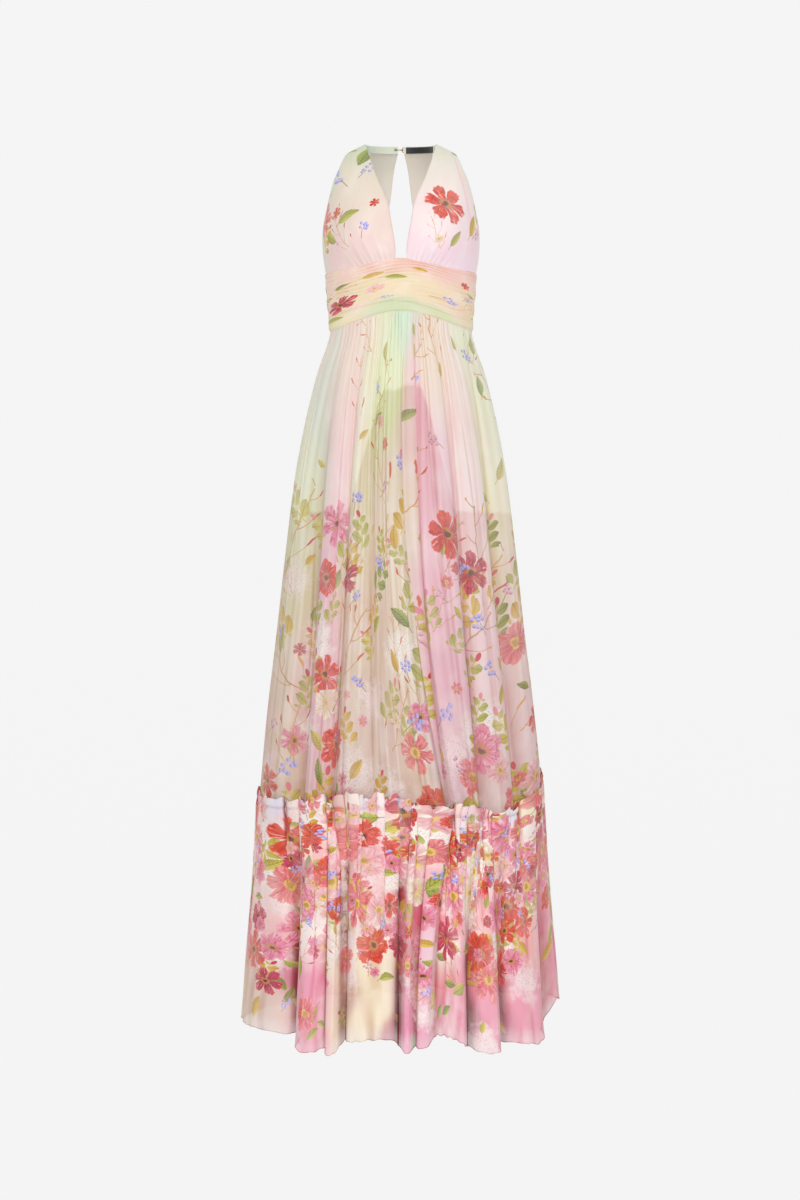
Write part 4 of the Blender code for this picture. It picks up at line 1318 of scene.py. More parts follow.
def back_waves():
    """The flounce's folds behind, whose ends meet those in front at the side seams."""
    waves = []
    turns = 2 * FLOUNCE_BACK_RIDGES
    right, left = FLOUNCE_FRONT_WAVES[0], FLOUNCE_FRONT_WAVES[-1]
    for i in range(turns + 1):
        share = i / turns
        inner = 0 < i < turns
        end_out = 0 if inner else left.hem_out + (right.hem_out - left.hem_out) * share
        way = -math.cos(math.pi * i) * inner
        level = left.longer + (right.longer - left.longer) * math.sin(share * math.pi / 2)
        size = way * FLOUNCE_BACK_OUT * (1 + BACK_SIZE_STRAY * uneven(i, 2))
        waves.append(
            Wave(
                cloth=100 * share,
                hem_angle=LEFT_SEAM + 180 * share + BACK_FOLD_STRAY * uneven(i, 1) * inner,
                hem_out=end_out + size,
                longer=level + way * FLOUNCE_BACK_LONGER,
            )
        )
    return tuple(waves)


def moved_out(points, distance):
    """A grid of points moved out of the cloth, square to each row's line seen from above."""
    along = np.gradient(points[..., :2], axis=1)
    along /= np.maximum(np.linalg.norm(along, axis=-1), 1e-9)[..., None]
    out = np.stack([along[..., 1], -along[..., 0], 0 * along[..., 0]], axis=-1)
    return points + out * distance[..., None]


def flounce_half(folds, waves, mesh_size):
    """A front or a back of the flounce, from its frill's edge down to its hem."""
    rows, columns = mesh_size
    above = np.linspace(-1, 0, HEADING_ROWS, endpoint=False)
    below = np.linspace(0, 1, rows + 1) ** ROWS_CROWD
    levels = np.concatenate([above, below])
    down, across = np.meshgrid(levels, np.linspace(0, 1, columns + 1), indexing="ij")
    frill, down = np.maximum(-down, 0), np.maximum(down, 0)
    ends, frill_ends = off_the_seams(across, 14), off_the_seams(across, 5)

    seam_angle, seam_out = skirt_place(folds, across, np.ones_like(across))
    seam_angle = leaned_under(seam_angle, seam_out * ends, SEAM_RADIUS, TURN_UNDER * ends)
    hem_angle, hem_out, longer = read(waves, 100 * across)
    turned = down * (2 - down)
    angle = seam_angle + (hem_angle - seam_angle) * turned
    out = seam_out + (hem_out - seam_out) * turned
    lean_under = HEM_TURN_UNDER * turned * ends
    angle = leaned_under(angle, hem_out * turned * ends, HEM_RADIUS, lean_under, OPEN_SIDE)

    seam_drop, lift, lean = read(SEAM, seam_angle)
    stitched = seam_drop + STITCHED_BELOW
    drop = stitched + (HEM_DROP + longer - stitched) * down
    ragged = FRILL_HEIGHT + FRILL_RAG * np.sin(83 * across + 2 * np.sin(31 * across))
    ragged = strayed(ragged, FRILL_RAGS, across, 0)
    caught = FRILL_AT_SEAMS + (1 - FRILL_AT_SEAMS) * frill_ends
    drop = drop - (lift + STITCHED_BELOW) * ragged * caught * frill

    pinch = 1 - PINCH * bell(down / PINCH_BELOW) * bell(frill / PINCH_ABOVE)
    raised, moved = gathered(FLOUNCE_GATHERS, across, down)
    puff = raised * pinch * (1 + FRILL_FLARE * frill) + FRILL_BULGE * np.sin(np.pi * frill)
    puff = puff * ends * (1 - frill * (1 - frill_ends))
    sideways = moved * pinch * (1 - FRILL_STEADY * frill) * ends
    angle = angle + np.degrees(sideways / GATHER_RADIUS)
    near_hem = np.exp(-(1 - down) * HEM_CURL_FADE)
    curl = HEM_CURL_DEPTH * near_hem * ripples(across, HEM_CURLS, HEM_CURL_STRAY, 13 * across)
    soft = ripples(across, FLOUNCE_RIPPLES, FLOUNCE_RIPPLE_STRAY, 6 * down + 11 * across)
    soft = FLOUNCE_RIPPLE_DEPTH * down * soft
    leaned_out = FRILL_LEAN * lean * frill**1.3 * frill_ends
    on_skirt = girth_point(angle, drop, out + leaned_out + (curl + soft) * ends)
    scallops = ripples(across, HEM_SCALLOPS, 1, 19 * across)
    scallops = scallops + HEM_SMALL_SCALLOPS * np.sin(310 * across)
    on_skirt[..., 2] += near_hem * scallops * ends
    groove = BITE * bell(down / BITE_BELOW) * bell(frill / BITE_ABOVE) * ends
    off = FLOUNCE_OFF_SKIRT * np.exp(-OFF_SKIRT_FADE * down) + puff - groove
    points = moved_out(on_skirt, off)
    cut_down = HEADING_SHARE * (1 - frill) + (1 - HEADING_SHARE) * down
    cut = cut_flat(FLOUNCE_WIDTH, FLOUNCE_LENGTH, across, cut_down)
    return [points, cut, across, cut_down, 0 * across], on_skirt[HEADING_ROWS]


def caught_edge(on_skirt, thread_line):
    """The skirt's edge, turned out and caught in the gathers: it closes the foot of the frill."""
    inner = moved_out(on_skirt[None], -SEAM_EDGE * np.ones((1, len(on_skirt))))[0]
    inner[:, 2] += SEAM_EDGE
    return np.stack([inner, thread_line])


def edge_rolled(grids):
    """Rolls the last row of a cloth under. The last of its grids marks what is rolled."""
    edge, before = grids[0][-1], grids[0][-2]
    fall = (edge - before) / np.linalg.norm(edge - before, axis=-1, keepdims=True)
    out = moved_out(edge[None], np.ones((1, len(edge))))[0] - edge
    turn = np.linspace(0, ROLL_TURN, ROLL_ROWS + 1)[1:, None, None]
    more = [np.repeat(grid[-1:], ROLL_ROWS, axis=0) for grid in grids]
    more[0] = edge + ROLL_RADIUS * (np.sin(turn) * fall - (1 - np.cos(turn)) * out)
    more[-1] += 1
    return [np.concatenate(pair) for pair in zip(grids, more)]


def both_edges_rolled(grids):
    """Rolls the hem, and then the frill's edge."""
    hemmed = edge_rolled(grids)
    return [grid[::-1] for grid in edge_rolled([grid[::-1] for grid in hemmed])]


def flounce_painted_shade(points, down, rolled):
    """The painted shade in the flounce's colour: deeper in its folds and gathers, partly as doubled
    chiffon is, and under its thread, paler on its ridges, a painted highlight, and deeper towards
    its foot and at its rolled edges.
    """
    sunk = hollows(points, FOLD_REACH)
    sunk = sunk + FLOUNCE_BROAD_SHARE * hollows(points, FLOUNCE_BROAD_REACH)
    doubled = FLOUNCE_FOLD_SHADE * np.clip(sunk, -0.8, 3.8)
    doubled = doubled + CREASE_SHADE * np.clip(hollows(points, CREASE_REACH), -0.5, 0.9)
    doubled = np.maximum(doubled * (1 + GATHERS_CRISP * np.exp(-5 * down)), RIDGE_HIGHLIGHT)
    doubled = doubled + FLOUNCE_FOOT_DEEPER * step_up(down, 0.55, 0.6)
    doubled = doubled + THREAD_SHADE * bell((down - HEADING_SHARE) / 0.006)
    return doubled + ROLL_DOUBLED * rolled


FLOUNCE_SIDES = {
    "front": (FLOUNCE_FRONT_WAVES, FLOUNCE_FRONT_WASHES, 11),
    "back": (back_waves(), FLOUNCE_BACK_WASHES, 12),
}
gathering_thread = sewing_thread("gathering_thread", "D9A9A4", "F6D9D2")
for place, (waves, washes, seed) in FLOUNCE_SIDES.items():
    grids, on_skirt = flounce_half(SKIRT_SIDES[place][0], waves, FLOUNCE_MESH[place])
    edge_points = caught_edge(on_skirt, grids[0][HEADING_ROWS])
    edge_cut, edge_across, edge_down = (grid[[HEADING_ROWS] * 2] for grid in grids[1:4])
    thread_line = moved_out(grids[0], GATHER_STITCHES[-1] + 0 * grids[2])[HEADING_ROWS]
    points, cut, across, down, rolled = both_edges_rolled(grids)
    flounce = make_cloth("flounce_" + place, points, cut, skirt_finish)
    margin = np.clip((down - MARGIN_FROM) / MARGIN_FADE, 0, 1)
    body = FLOUNCE_BODY + (HEM_BODY - FLOUNCE_BODY) * margin
    body = body + (ROLL_BODY - body) * rolled
    washes = washes + FRILL_WASHES
    doubled = flounce_painted_shade(points, down, rolled)
    wash_over(flounce, washes, FLOUNCE_GROUND, 100 * across, down, body, doubled)
    random = np.random.default_rng(seed)
    print_motifs(flounce, sow(random, FLOUNCE_SOWINGS, FLOUNCE_WIDTH, FLOUNCE_LENGTH))
    put_in_place(flounce, "border_chiffon", "flounce_" + place)
    gathers = sew("gathering_" + place, [thread_line], GATHER_STITCHES, gathering_thread)
    put_in_place(gathers, "border_chiffon")
    edge = make_cloth("caught_edge_" + place, edge_points, edge_cut, skirt_finish)
    edge_across = 100 * edge_across
    wash_over(edge, washes, FLOUNCE_GROUND, edge_across, edge_down, FLOUNCE_BODY, EDGE_DOUBLED)
    print_motifs(edge, {})
    put_in_place(edge, "border_chiffon")
    "skirt_" + place

# ------------------------------------------------------------
# Waistband. A front and a back of doubled chiffon under the bust, laid in fine folds that sweep
# along it and sewn down at both edges. Its lowest fold lies over the others.
# ------------------------------------------------------------

BAND_MESH = (104, 230)
BAND_PLEATS, BAND_PLEAT_DEPTH, BAND_PLEAT_SIZE = 15, 1.3, 0.55
BAND_SWEEP, BAND_SWEEP_SIDES = 0.85, 0.25  # how many pleats wide they sweep along the band
BAND_STRAYS = (Stray(0.30, 2.3, 7), Stray(0.16, -5, 19))  # of their lines, round and down
BAND_SIZE_STRAYS = (Stray(0.40, 2.7, 9), Stray(0.30, 7, -13))  # and of their size
PLEAT_SHARPNESS = 0.75
UNDER_BUST, UNDER_BUST_HEIGHT = 0.65, 0.32  # how much deeper they are near the upper seam
BAND_DRAPES, BAND_DRAPE_DEPTH, BAND_DRAPE_STRAY = 3.3, 1.4, 0.5  # broader, under the fine ones
# Painted shade in the creases between the folds.
BAND_CREASE_SHADE = 0.40  # how much deeper the colour is in the creases between the folds
BAND_GROUND = "EDDAC5"
BAND_OFF_BODY, BAND_BELLY, BAND_EDGE_OUT = 1.3, 0.8, 0.2
FOOT_FOLD_AT, FOOT_FOLD_STRAY, FOOT_FOLD_WAVE = 0.81, 0.05, 0.015  # where the lowest fold begins
FOOT_FOLD_DEPTH, FOOT_FOLD_SMOOTH = 1.1, 0.8  # how far it stands out, and stills the others
FOOT_FOLD_SHADOW, FOOT_FOLD_LINE = 0.16, 0.014  # its shadow, and how wide that is
BAND_TURN = 0.02  # share of the height that turns in at each edge
BAND_CUT_WIDTH, BAND_CUT_HEIGHT = 0.36, 0.24  # of each half, in metres
BAND_SLANT = 0.8  # how far the cloth is pulled askew as it is draped

BAND_FRONT_WASHES = (
    Wash(12, 0.18, 14, 0.22, "EED3BE"),
    Wash(10, 0.62, 12, 0.25, "ECD4B6"),
    Wash(50, 0.06, 26, 0.18, "F2C9BA"),
    Wash(78, 0.16, 16, 0.22, "F2CAC0"),
    Wash(45, 0.45, 24, 0.18, "ECD9B4"),
    Wash(80, 0.52, 16, 0.20, "EED6B6"),
    Wash(50, 0.98, 15, 0.17, "CCD8B0"),
    Wash(70, 0.99, 14, 0.09, "D4DAAD"),
    Wash(90, 0.90, 10, 0.16, "ECDDB8"),
    Wash(12, 0.97, 16, 0.14, "E9DCAD"),
)
BAND_BACK_WASHES = (
    Wash(20, 0.12, 24, 0.20, "F0CABA"),
    Wash(70, 0.14, 24, 0.20, "F1C2BC"),
    Wash(30, 0.50, 26, 0.18, "EDDABE"),
    Wash(78, 0.55, 22, 0.18, "EFD6BA"),
    Wash(50, 0.98, 26, 0.16, "CFD8B3"),
    Wash(14, 0.97, 14, 0.14, "ECDDB8"),
    Wash(88, 0.97, 14, 0.14, "E9DCAD"),
)
# The motifs that fell on the waistband, across and down its cut. Its folds squash them to streaks.
BAND_MOTIFS = {
    "front": {
        "large_blooms": (
            Motif(-0.096, 0.150, 0.038, 62, 0.09),
            Motif(-0.040, 0.122, 0.020, 80, 0.30),
            Motif(0.142, 0.070, 0.016, 100, 0.40),
        ),
        "berries": (
            Motif(0.064, 0.150, 0.027, 85, 0.25),
            Motif(0.124, 0.126, 0.023, 70, 0.40),
            Motif(-0.136, 0.196, 0.020, 100, 0.10),
            Motif(-0.020, 0.168, 0.013, 90, 0.60),
        ),
        "leaves": (
            Motif(-0.058, 0.060, 0.030, 84, 0.13),
            Motif(-0.012, 0.082, 0.026, 96, 0.30),
            Motif(0.036, 0.046, 0.021, 100, 0.26),
            Motif(-0.128, 0.078, 0.024, 70, 0.10),
            Motif(0.150, 0.106, 0.018, -60, 0.44),
            Motif(0.118, 0.196, 0.026, 104, 0.16),
            Motif(-0.090, 0.208, 0.028, 80, 0.44),
        ),
        "twigs": (Motif(0.096, 0.166, 0.042, 70, 0.50), Motif(-0.120, 0.100, 0.044, 52, 0.70)),
        "sprays": (Motif(-0.156, 0.126, 0.024, 60, 0.62),),
    },
    "back": {
        "large_blooms": (
            Motif(-0.080, 0.084, 0.030, 70, 0.25),
            Motif(0.060, 0.132, 0.034, 100, 0.055),
        ),
        "berries": (
            Motif(-0.016, 0.120, 0.026, 80, 0.20),
            Motif(0.130, 0.088, 0.022, 100, 0.50),
            Motif(-0.130, 0.160, 0.022, 70, 0.35),
        ),
        "leaves": (
            Motif(0.012, 0.062, 0.028, 84, 0.30),
            Motif(0.110, 0.178, 0.026, 70, 0.13),
            Motif(-0.066, 0.190, 0.026, 100, 0.44),
            Motif(-0.140, 0.062, 0.024, 80, 0.10),
        ),
        "twigs": (Motif(0.020, 0.180, 0.044, 62, 0.30), Motif(-0.106, 0.130, 0.040, 110, 0.60)),
    },
}


def band_half(first_angle):
    """A front or a back of the waistband, with its edges turned in, and the painted shade in its
    creases and under its lowest fold.
    """
    down, across = shares(*BAND_MESH)
    angle = first_angle + 180 * across
    turn = np.radians(angle)
    sweep = BAND_SWEEP * np.sin(1.6 * turn + 0.5) * arch(angle, 0.7)
    sweep = sweep + BAND_SWEEP_SIDES * np.sin(5 * turn)
    stray = strayed(0, BAND_STRAYS, turn, down)
    pleat = 2 * np.pi * (BAND_PLEATS * down**0.9 + sweep * np.sin(np.pi * down) + stray)
    fold = 0.5 + 0.5 * np.sin(pleat + PLEAT_SHARPNESS * np.sin(pleat))
    foot_at = FOOT_FOLD_AT + FOOT_FOLD_STRAY * sine(angle) + FOOT_FOLD_WAVE * np.sin(3 * turn)
    stilled = 1 - FOOT_FOLD_SMOOTH * step_up(down, foot_at, 0.06)
    size = np.maximum(strayed(BAND_PLEAT_SIZE, BAND_SIZE_STRAYS, turn, down), 0.1)
    size = size * (1 - UNDER_BUST + UNDER_BUST * bell(down / UNDER_BUST_HEIGHT)) * stilled
    drape = 0.5 + 0.5 * ripples(down, BAND_DRAPES, BAND_DRAPE_STRAY, 1.3 * turn + 1)
    drape = BAND_DRAPE_DEPTH * drape * stilled
    depth = BAND_PLEAT_DEPTH * size
    belly = BAND_BELLY * (1 - (2 * down - 1) ** 2)
    foot_fold = FOOT_FOLD_DEPTH * step_up(down, foot_at, 0.04)
    turned_in = bell(down / BAND_TURN) + bell((1 - down) / BAND_TURN)
    out = BAND_OFF_BODY + depth * fold + drape + belly + foot_fold
    out = out * (1 - turned_in) + BAND_EDGE_OUT * turned_in
    drop = band_top(angle) + (band_foot(angle) - band_top(angle)) * down
    cut = cut_flat(BAND_CUT_WIDTH, BAND_CUT_HEIGHT, across, down)
    cut[..., 0] += BAND_SLANT * (1 - 2 * across) * BAND_CUT_HEIGHT * (down - 0.5)
    # Painted shade in the creases, and a painted shadow under the lowest fold.
    crease = BAND_CREASE_SHADE * (1 - fold) ** 2 * size
    crease = crease + FOOT_FOLD_SHADOW * bell((down - foot_at) / FOOT_FOLD_LINE)
    return girth_point(angle, drop, out), cut, across, down, crease


for place, first_angle, washes in (
    ("front", -LEFT_SEAM, BAND_FRONT_WASHES),
    ("back", LEFT_SEAM, BAND_BACK_WASHES),
):
    points, cut, across, down, crease = band_half(first_angle)
    band = make_cloth("waistband_" + place, points, cut, skirt_finish)
    wash_over(band, washes, BAND_GROUND, 100 * across, down, 1.0, crease)
    print_motifs(band, BAND_MOTIFS[place])
    put_in_place(band, "draped_chiffon", "waistband_" + place)

# ------------------------------------------------------------
# Bodice. Two front panels of doubled chiffon, gathered into the waistband under the bust, that
# cross the shoulders as wide straps, and two back panels with a keyhole between them.
# ------------------------------------------------------------

# Each section of a panel runs from its neckline edge past a corner to its side or armhole edge.
Section = namedtuple("Section", "in_x in_y in_drop corner_x corner_y out_x out_y out_drop")
FRONT_SECTIONS = (
    Section(9, -108, 186, 120, -114, 130, 0, 184),
    Section(13, -111, 159, 122, -116, 131, 0, 151),
    Section(16.5, -110, 139, 119, -113, 129.5, -8, 139),
    Section(19.5, -107, 120, 113, -107, 125, -25, 120),
    Section(28, -98, 95, 104, -98, 118.5, -38, 93),
    Section(38, -85, 72, 96, -86, 111, -44, 68),
    Section(46, -68, 49, 90, -68, 102.5, -41, 47),
    Section(52, -49, 29, 84, -48, 96, -27, 29),
    Section(57, -25, 10, 80, -20, 91, -12, 18),
    Section(59.2, -5, 0, 76, -2, 88.5, 3, 14),
    Section(58, 14, 0, 70, 16, 79, 18, 11),
    Section(54.6, 24, 3, 60, 26, 64, 27, 8),
)
BACK_SECTIONS = (
    Section(33, 84, 186, 116, 90, 130, 0, 184),
    Section(29.5, 88, 158, 118, 94, 131, 0, 151),
    Section(26, 90, 133, 113, 96, 129.5, 8, 139),
    Section(22, 90, 104, 97, 95, 110, 44, 107),
    Section(17, 84, 70, 74, 86, 87, 56, 73),
    Section(12.5, 70, 36, 50, 70, 66, 50, 40),
)
FRONT_EDGE_ANGLE, KEYHOLE_FOOT_ANGLE = 4.6, 163
FRONT_MESH, BACK_MESH = (130, 96), (90, 54)
BODICE_TUCK = 3  # how far the panels reach down behind the waistband
BODICE_WALL = 1.0
BUST_X, BUST_DROP, BUST_SPREAD, BUST_RISE = 72, 152, 40, 13
BUST_SIDEWAYS = 0.25
# Painted shade in the folds of the panels, and a painted highlight on their ridges.
BODICE_FOLD_SHADE, BODICE_REACH = 0.30, 5  # its reach is between a crease's and a fold's

# Gathers that fan up from the waistband: foot and width are shares of the panel's width, lean is
# how far one wanders over its height. Each grows from PLEAT_FOOT of its width by PLEAT_SPREAD.
BustPleat = namedtuple("BustPleat", "foot lean height depth width")
BUST_PLEATS = (
    BustPleat(0.06, 0.02, 16, 0.6, 0.013),
    BustPleat(0.10, 0.04, 30, 1.1, 0.014),
    BustPleat(0.145, 0.05, 20, 0.7, 0.012),
    BustPleat(0.185, 0.07, 38, 1.3, 0.015),
    BustPleat(0.23, 0.08, 26, 0.9, 0.013),
    BustPleat(0.27, 0.09, 34, 1.2, 0.015),
    BustPleat(0.325, 0.08, 18, 0.7, 0.014),
    BustPleat(0.38, 0.10, 26, 0.8, 0.018),
    BustPleat(0.50, 0.06, 18, 0.5, 0.022),
)
PLEAT_FOOT, PLEAT_SPREAD = 0.8, 0.5

NECK_HALF_WIDTH, NECK_BACK = 57.3, 47
NECK_HEIGHT, NECK_BACK_RISE, NECK_END_GAP = 13, 5.4, 5
STRAP_FOOT_ANGLE = 118  # where the back panel's armhole edge meets the neck band


def bend(section, share):
    """Points along a section, from its inner edge past its corner to its outer edge."""
    inner = np.array([section.in_x, section.in_y, -section.in_drop])
    outer = np.array([section.out_x, section.out_y, -section.out_drop])
    corner = np.array([section.corner_x, section.corner_y, (inner[2] + outer[2]) / 2])
    s = share[:, None]
    return inner * (1 - s) ** 2 + 2 * corner * s * (1 - s) + outer * s**2


def finer_rows(grid, rows):
    """Draws smooth lines down a coarse grid and reads more rows off them."""
    middle = grid[:, grid.shape[1] // 2]
    knots = np.concatenate([[0], np.cumsum(np.linalg.norm(np.diff(middle, axis=0), axis=1))])
    at = np.linspace(0, knots[-1], rows + 1)
    lines = [[through(knots, grid[:, c, k], at) for k in range(3)] for c in range(grid.shape[1])]
    return np.transpose(np.array(lines), (2, 0, 1))


def cut_of(points):
    """The cut of a panel that lies nearly flat: distances along it, across from its middle."""
    steps = np.linalg.norm(np.diff(points, axis=1), axis=-1)
    across = np.concatenate([np.zeros((len(points), 1)), np.cumsum(steps, axis=1)], axis=1)
    across -= across[:, -1:] / 2
    falls = np.linalg.norm(np.diff(points[:, points.shape[1] // 2], axis=0), axis=-1)
    down = np.concatenate([[0], np.cumsum(falls)])[:, None] + 0 * across
    return np.stack([across, down], axis=-1) * MM


def area_of(points):
    """The area of a grid of points, in square metres."""
    down, across = points[1:, :-1] - points[:-1, :-1], points[:-1, 1:] - points[:-1, :-1]
    return np.linalg.norm(np.cross(down, across), axis=-1).sum() * MM * MM


def thicken(piece, thickness):
    """Gives a sheet its wall, outwards from the face that it was made with."""
    wall = piece.modifiers.new("wall", "SOLIDIFY")
    wall.thickness, wall.offset = thickness * MM, 1
    return wall


def front_panel():
    """The wearer's left front panel, from its end behind the shoulder down to the waistband."""
    rows, columns = FRONT_MESH
    share = np.linspace(0, 1, columns + 1)
    foot_angle = FRONT_EDGE_ANGLE + (LEFT_SEAM - FRONT_EDGE_ANGLE) * share
    foot = girth_point(foot_angle, band_top(foot_angle) + BODICE_TUCK, 0)
    grid = np.array([bend(section, share) for section in reversed(FRONT_SECTIONS)] + [foot])
    points = finer_rows(grid, rows)
    across = (points[..., 0] - BUST_X) / BUST_SPREAD
    down = (-points[..., 2] - BUST_DROP) / BUST_SPREAD
    rise = BUST_RISE * bell(across) * bell(down) * (1 - share**3)
    height = np.maximum(0, points[..., 2] + band_top(foot_angle))
    puff = 0 * rise
    for pleat in BUST_PLEATS:
        up = height / pleat.height
        line = pleat.foot + pleat.lean * up
        width = pleat.width * (PLEAT_FOOT + PLEAT_SPREAD * up)
        puff += pleat.depth * bell((share - line) / width) * bell(up)
    points[..., 0] += rise * BUST_SIDEWAYS
    points[..., 1] -= rise + puff
    return points


def neck_point(angle, below_top, out):
    """Points of the neck band's inner face, at a distance below its top edge."""
    x, y = oval(angle, NECK_HALF_WIDTH, NECK_BACK, out)
    rise = NECK_BACK_RISE * np.maximum(-cosine(angle), 0)
    return np.stack([x, y, rise - below_top + 0 * x], axis=-1)


def neck_end_angle():
    """The angle at which the neck band stops short of the centre back."""
    return 180 - math.degrees(math.asin(NECK_END_GAP / NECK_HALF_WIDTH))


def back_panel():
    """The wearer's left back panel, from the neck band down to the waistband."""
    rows, columns = BACK_MESH
    share = np.linspace(0, 1, columns + 1)
    foot_angle = KEYHOLE_FOOT_ANGLE + (LEFT_SEAM - KEYHOLE_FOOT_ANGLE) * share
    foot = girth_point(foot_angle, band_top(foot_angle) + BODICE_TUCK, 0)
    angle = neck_end_angle() + (STRAP_FOOT_ANGLE - neck_end_angle()) * share
    top = neck_point(angle, NECK_HEIGHT - BODICE_TUCK, 0)
    grid = np.array([top] + [bend(section, share) for section in reversed(BACK_SECTIONS)] + [foot])
    return finer_rows(grid, rows)[:, ::-1]


def mirrored(points):
    """The same panel for the wearer's right side, still facing out."""
    return points[:, ::-1] * (-1, 1, 1)


# The washes of each panel, across it in the way that angles run round the dress.
# The wearer's right panels are a little darker and greener than the left ones, the front one most
# near its side seam.
BODICE_WASHES = {
    "front_left": (
        Wash(40, 0.10, 60, 0.20, "E6E8D2"),
        Wash(40, 0.38, 60, 0.16, "EFE5D8"),
        Wash(40, 0.64, 60, 0.16, "F7E3E3"),
        Wash(50, 0.92, 60, 0.16, "F7DDE9"),
        Wash(72, 0.42, 3, 0.34, "FBB9CC"),
    ),
    "front_right": (
        Wash(60, 0.10, 60, 0.20, "D3DEC0"),
        Wash(60, 0.38, 60, 0.16, "E4DAC3"),
        Wash(60, 0.64, 60, 0.16, "EAD8C8"),
        Wash(60, 0.92, 60, 0.16, "F0D3CE"),
        Wash(6, 0.62, 14, 0.40, "D6E1C6"),
    ),
    "back_left": (
        Wash(50, 0.12, 60, 0.24, "E3E2CF"),
        Wash(50, 0.50, 60, 0.22, "EEDDD4"),
        Wash(50, 0.88, 60, 0.20, "F4D2D8"),
    ),
    "back_right": (
        Wash(50, 0.12, 60, 0.24, "D3DFC8"),
        Wash(50, 0.50, 60, 0.22, "E6E0CA"),
        Wash(50, 0.88, 60, 0.20, "F3DCD0"),
    ),
}

# Motifs that the cutter placed on each panel: across from its middle and down from its top.
BODICE_MOTIFS = {
    "front_left": {
        "large_blooms": (Motif(-0.020, 0.180, 0.038, 10, 0.055),),
        "small_blooms": (
            Motif(0.068, 0.222, 0.012, 0, 0.30),
            Motif(-0.046, 0.238, 0.010, 0, 0.315),
        ),
        "twigs": (Motif(-0.046, 0.226, 0.034, -18, 0.40),),
        "leaves": (
            Motif(-0.014, 0.240, 0.020, 30, 0.45),
            Motif(0.034, 0.214, 0.030, 35, 0.13),
            Motif(0.020, 0.060, 0.018, -40, 0.30),
        ),
        "berries": (Motif(0.056, 0.226, 0.024, 70, 0.20),),
        "sprays": (Motif(0.080, 0.180, 0.034, 10, 0.62),),
    },
    "front_right": {
        "large_blooms": (Motif(-0.066, 0.200, 0.034, 0, 0.235),),
        "small_blooms": (
            Motif(-0.018, 0.192, 0.012, 0, 0.335),
            Motif(0.050, 0.178, 0.009, 0, 0.03),
        ),
        "berries": (
            Motif(-0.028, 0.130, 0.030, -55, 0.35),
            Motif(0.022, 0.112, 0.022, 30, 0.55),
            Motif(0.048, 0.222, 0.016, 15, 0.25),
        ),
        "leaves": (
            Motif(0.018, 0.074, 0.034, 200, 0.10),
            Motif(0.012, 0.204, 0.026, 60, 0.44),
            Motif(-0.028, 0.236, 0.024, -70, 0.73),
            Motif(-0.010, 0.046, 0.016, 120, 0.31),
        ),
        "twigs": (Motif(-0.004, 0.216, 0.044, -30, 0.66), Motif(-0.066, 0.140, 0.040, 15, 0.12)),
        "sprays": (Motif(-0.046, 0.232, 0.030, 40, 0.85),),
    },
    "back_left": {
        "sprays": (Motif(0.010, 0.120, 0.036, 20, 0.30),),
        "large_blooms": (Motif(-0.030, 0.165, 0.026, 0, 0.25),),
        "leaves": (Motif(0.030, 0.060, 0.024, -30, 0.44), Motif(-0.060, 0.175, 0.022, 60, 0.10)),
        "berries": (Motif(0.044, 0.160, 0.020, 0, 0.40),),
    },
    "back_right": {
        "berries": (Motif(-0.010, 0.105, 0.026, 30, 0.30), Motif(0.052, 0.172, 0.018, -30, 0.80)),
        "leaves": (Motif(0.020, 0.056, 0.026, 40, 0.13), Motif(-0.050, 0.165, 0.026, 20, 0.44)),
        "twigs": (Motif(0.020, 0.155, 0.048, -20, 0.50),),
        "small_blooms": (Motif(-0.020, 0.180, 0.014, 0, 0.03),),
    },
}


def facing_cloth():
    """The plain inner layer of the doubled panels, which takes the tint of the print behind it and
    the painted shade of its folds. Its paleness is partly its own and partly painted light, for the
    light that comes through the thin panels.
    """
    finish = Finish("facing_cloth", Roughness=0.7, Sheen_Weight=0.2)
    across, down = finish.cut()
    shade = finish.noise(finish.vector(across * 40, down * 40), 1, 3)[0]
    colour = finish.mix(0.55 + shade * 0.2, finish.drawn("wash", "Color"), "FFF9F1")
    finish.give("Base Color", colour)
    finish.woven(pitch=0.0008, strength=0.1)
    return finish.material


facing = facing_cloth()
left_front, left_back = front_panel(), back_panel()
bodice_points = {
    "front_left": left_front,
    "front_right": mirrored(left_front),
    "back_left": left_back,
    "back_right": mirrored(left_back),
}
for place, points in bodice_points.items():
    cut = cut_of(points)
    panel = make_cloth("bodice_" + place, points, cut, skirt_finish)
    rows, columns = points.shape[:2]
    down, across = shares(rows - 1, columns - 1)
    # Painted shade in the folds, paler on their ridges as a painted highlight.
    doubled = BODICE_FOLD_SHADE * np.clip(hollows(points, BODICE_REACH), -0.5, 1.0)
    wash_over(panel, BODICE_WASHES[place], CHIFFON_GROUND, 100 * across, down, 1.0, doubled)
    print_motifs(panel, BODICE_MOTIFS[place])
    panel.data.materials.append(facing)
    thicken(panel, BODICE_WALL).material_offset = 1
    put_in_place(panel, "printed_chiffon", "bodice_" + place)
    width, length = np.ptp(cut[..., 0]), np.ptp(cut[..., 1])
    min(area_of(points), width * length)
    "waistband_front" if "front" in place else "waistband_back"

# ------------------------------------------------------------
# Neck band. A narrow doubled band behind the neck, in two halves that meet at the centre back,
# to which the tops of the four bodice panels are sewn.
# ------------------------------------------------------------

NECK_FRONT_ANGLE = 83
NECK_MESH, NECK_WALL = (8, 90), 1.2
NECK_WAVE, NECK_WAVES = 0.15, 40  # it isn't quite smooth along its length
# The right half is a little darker and greener than the left.
NECK_TINTS = {"left": "E4E4D2", "right": "D2E0CB"}


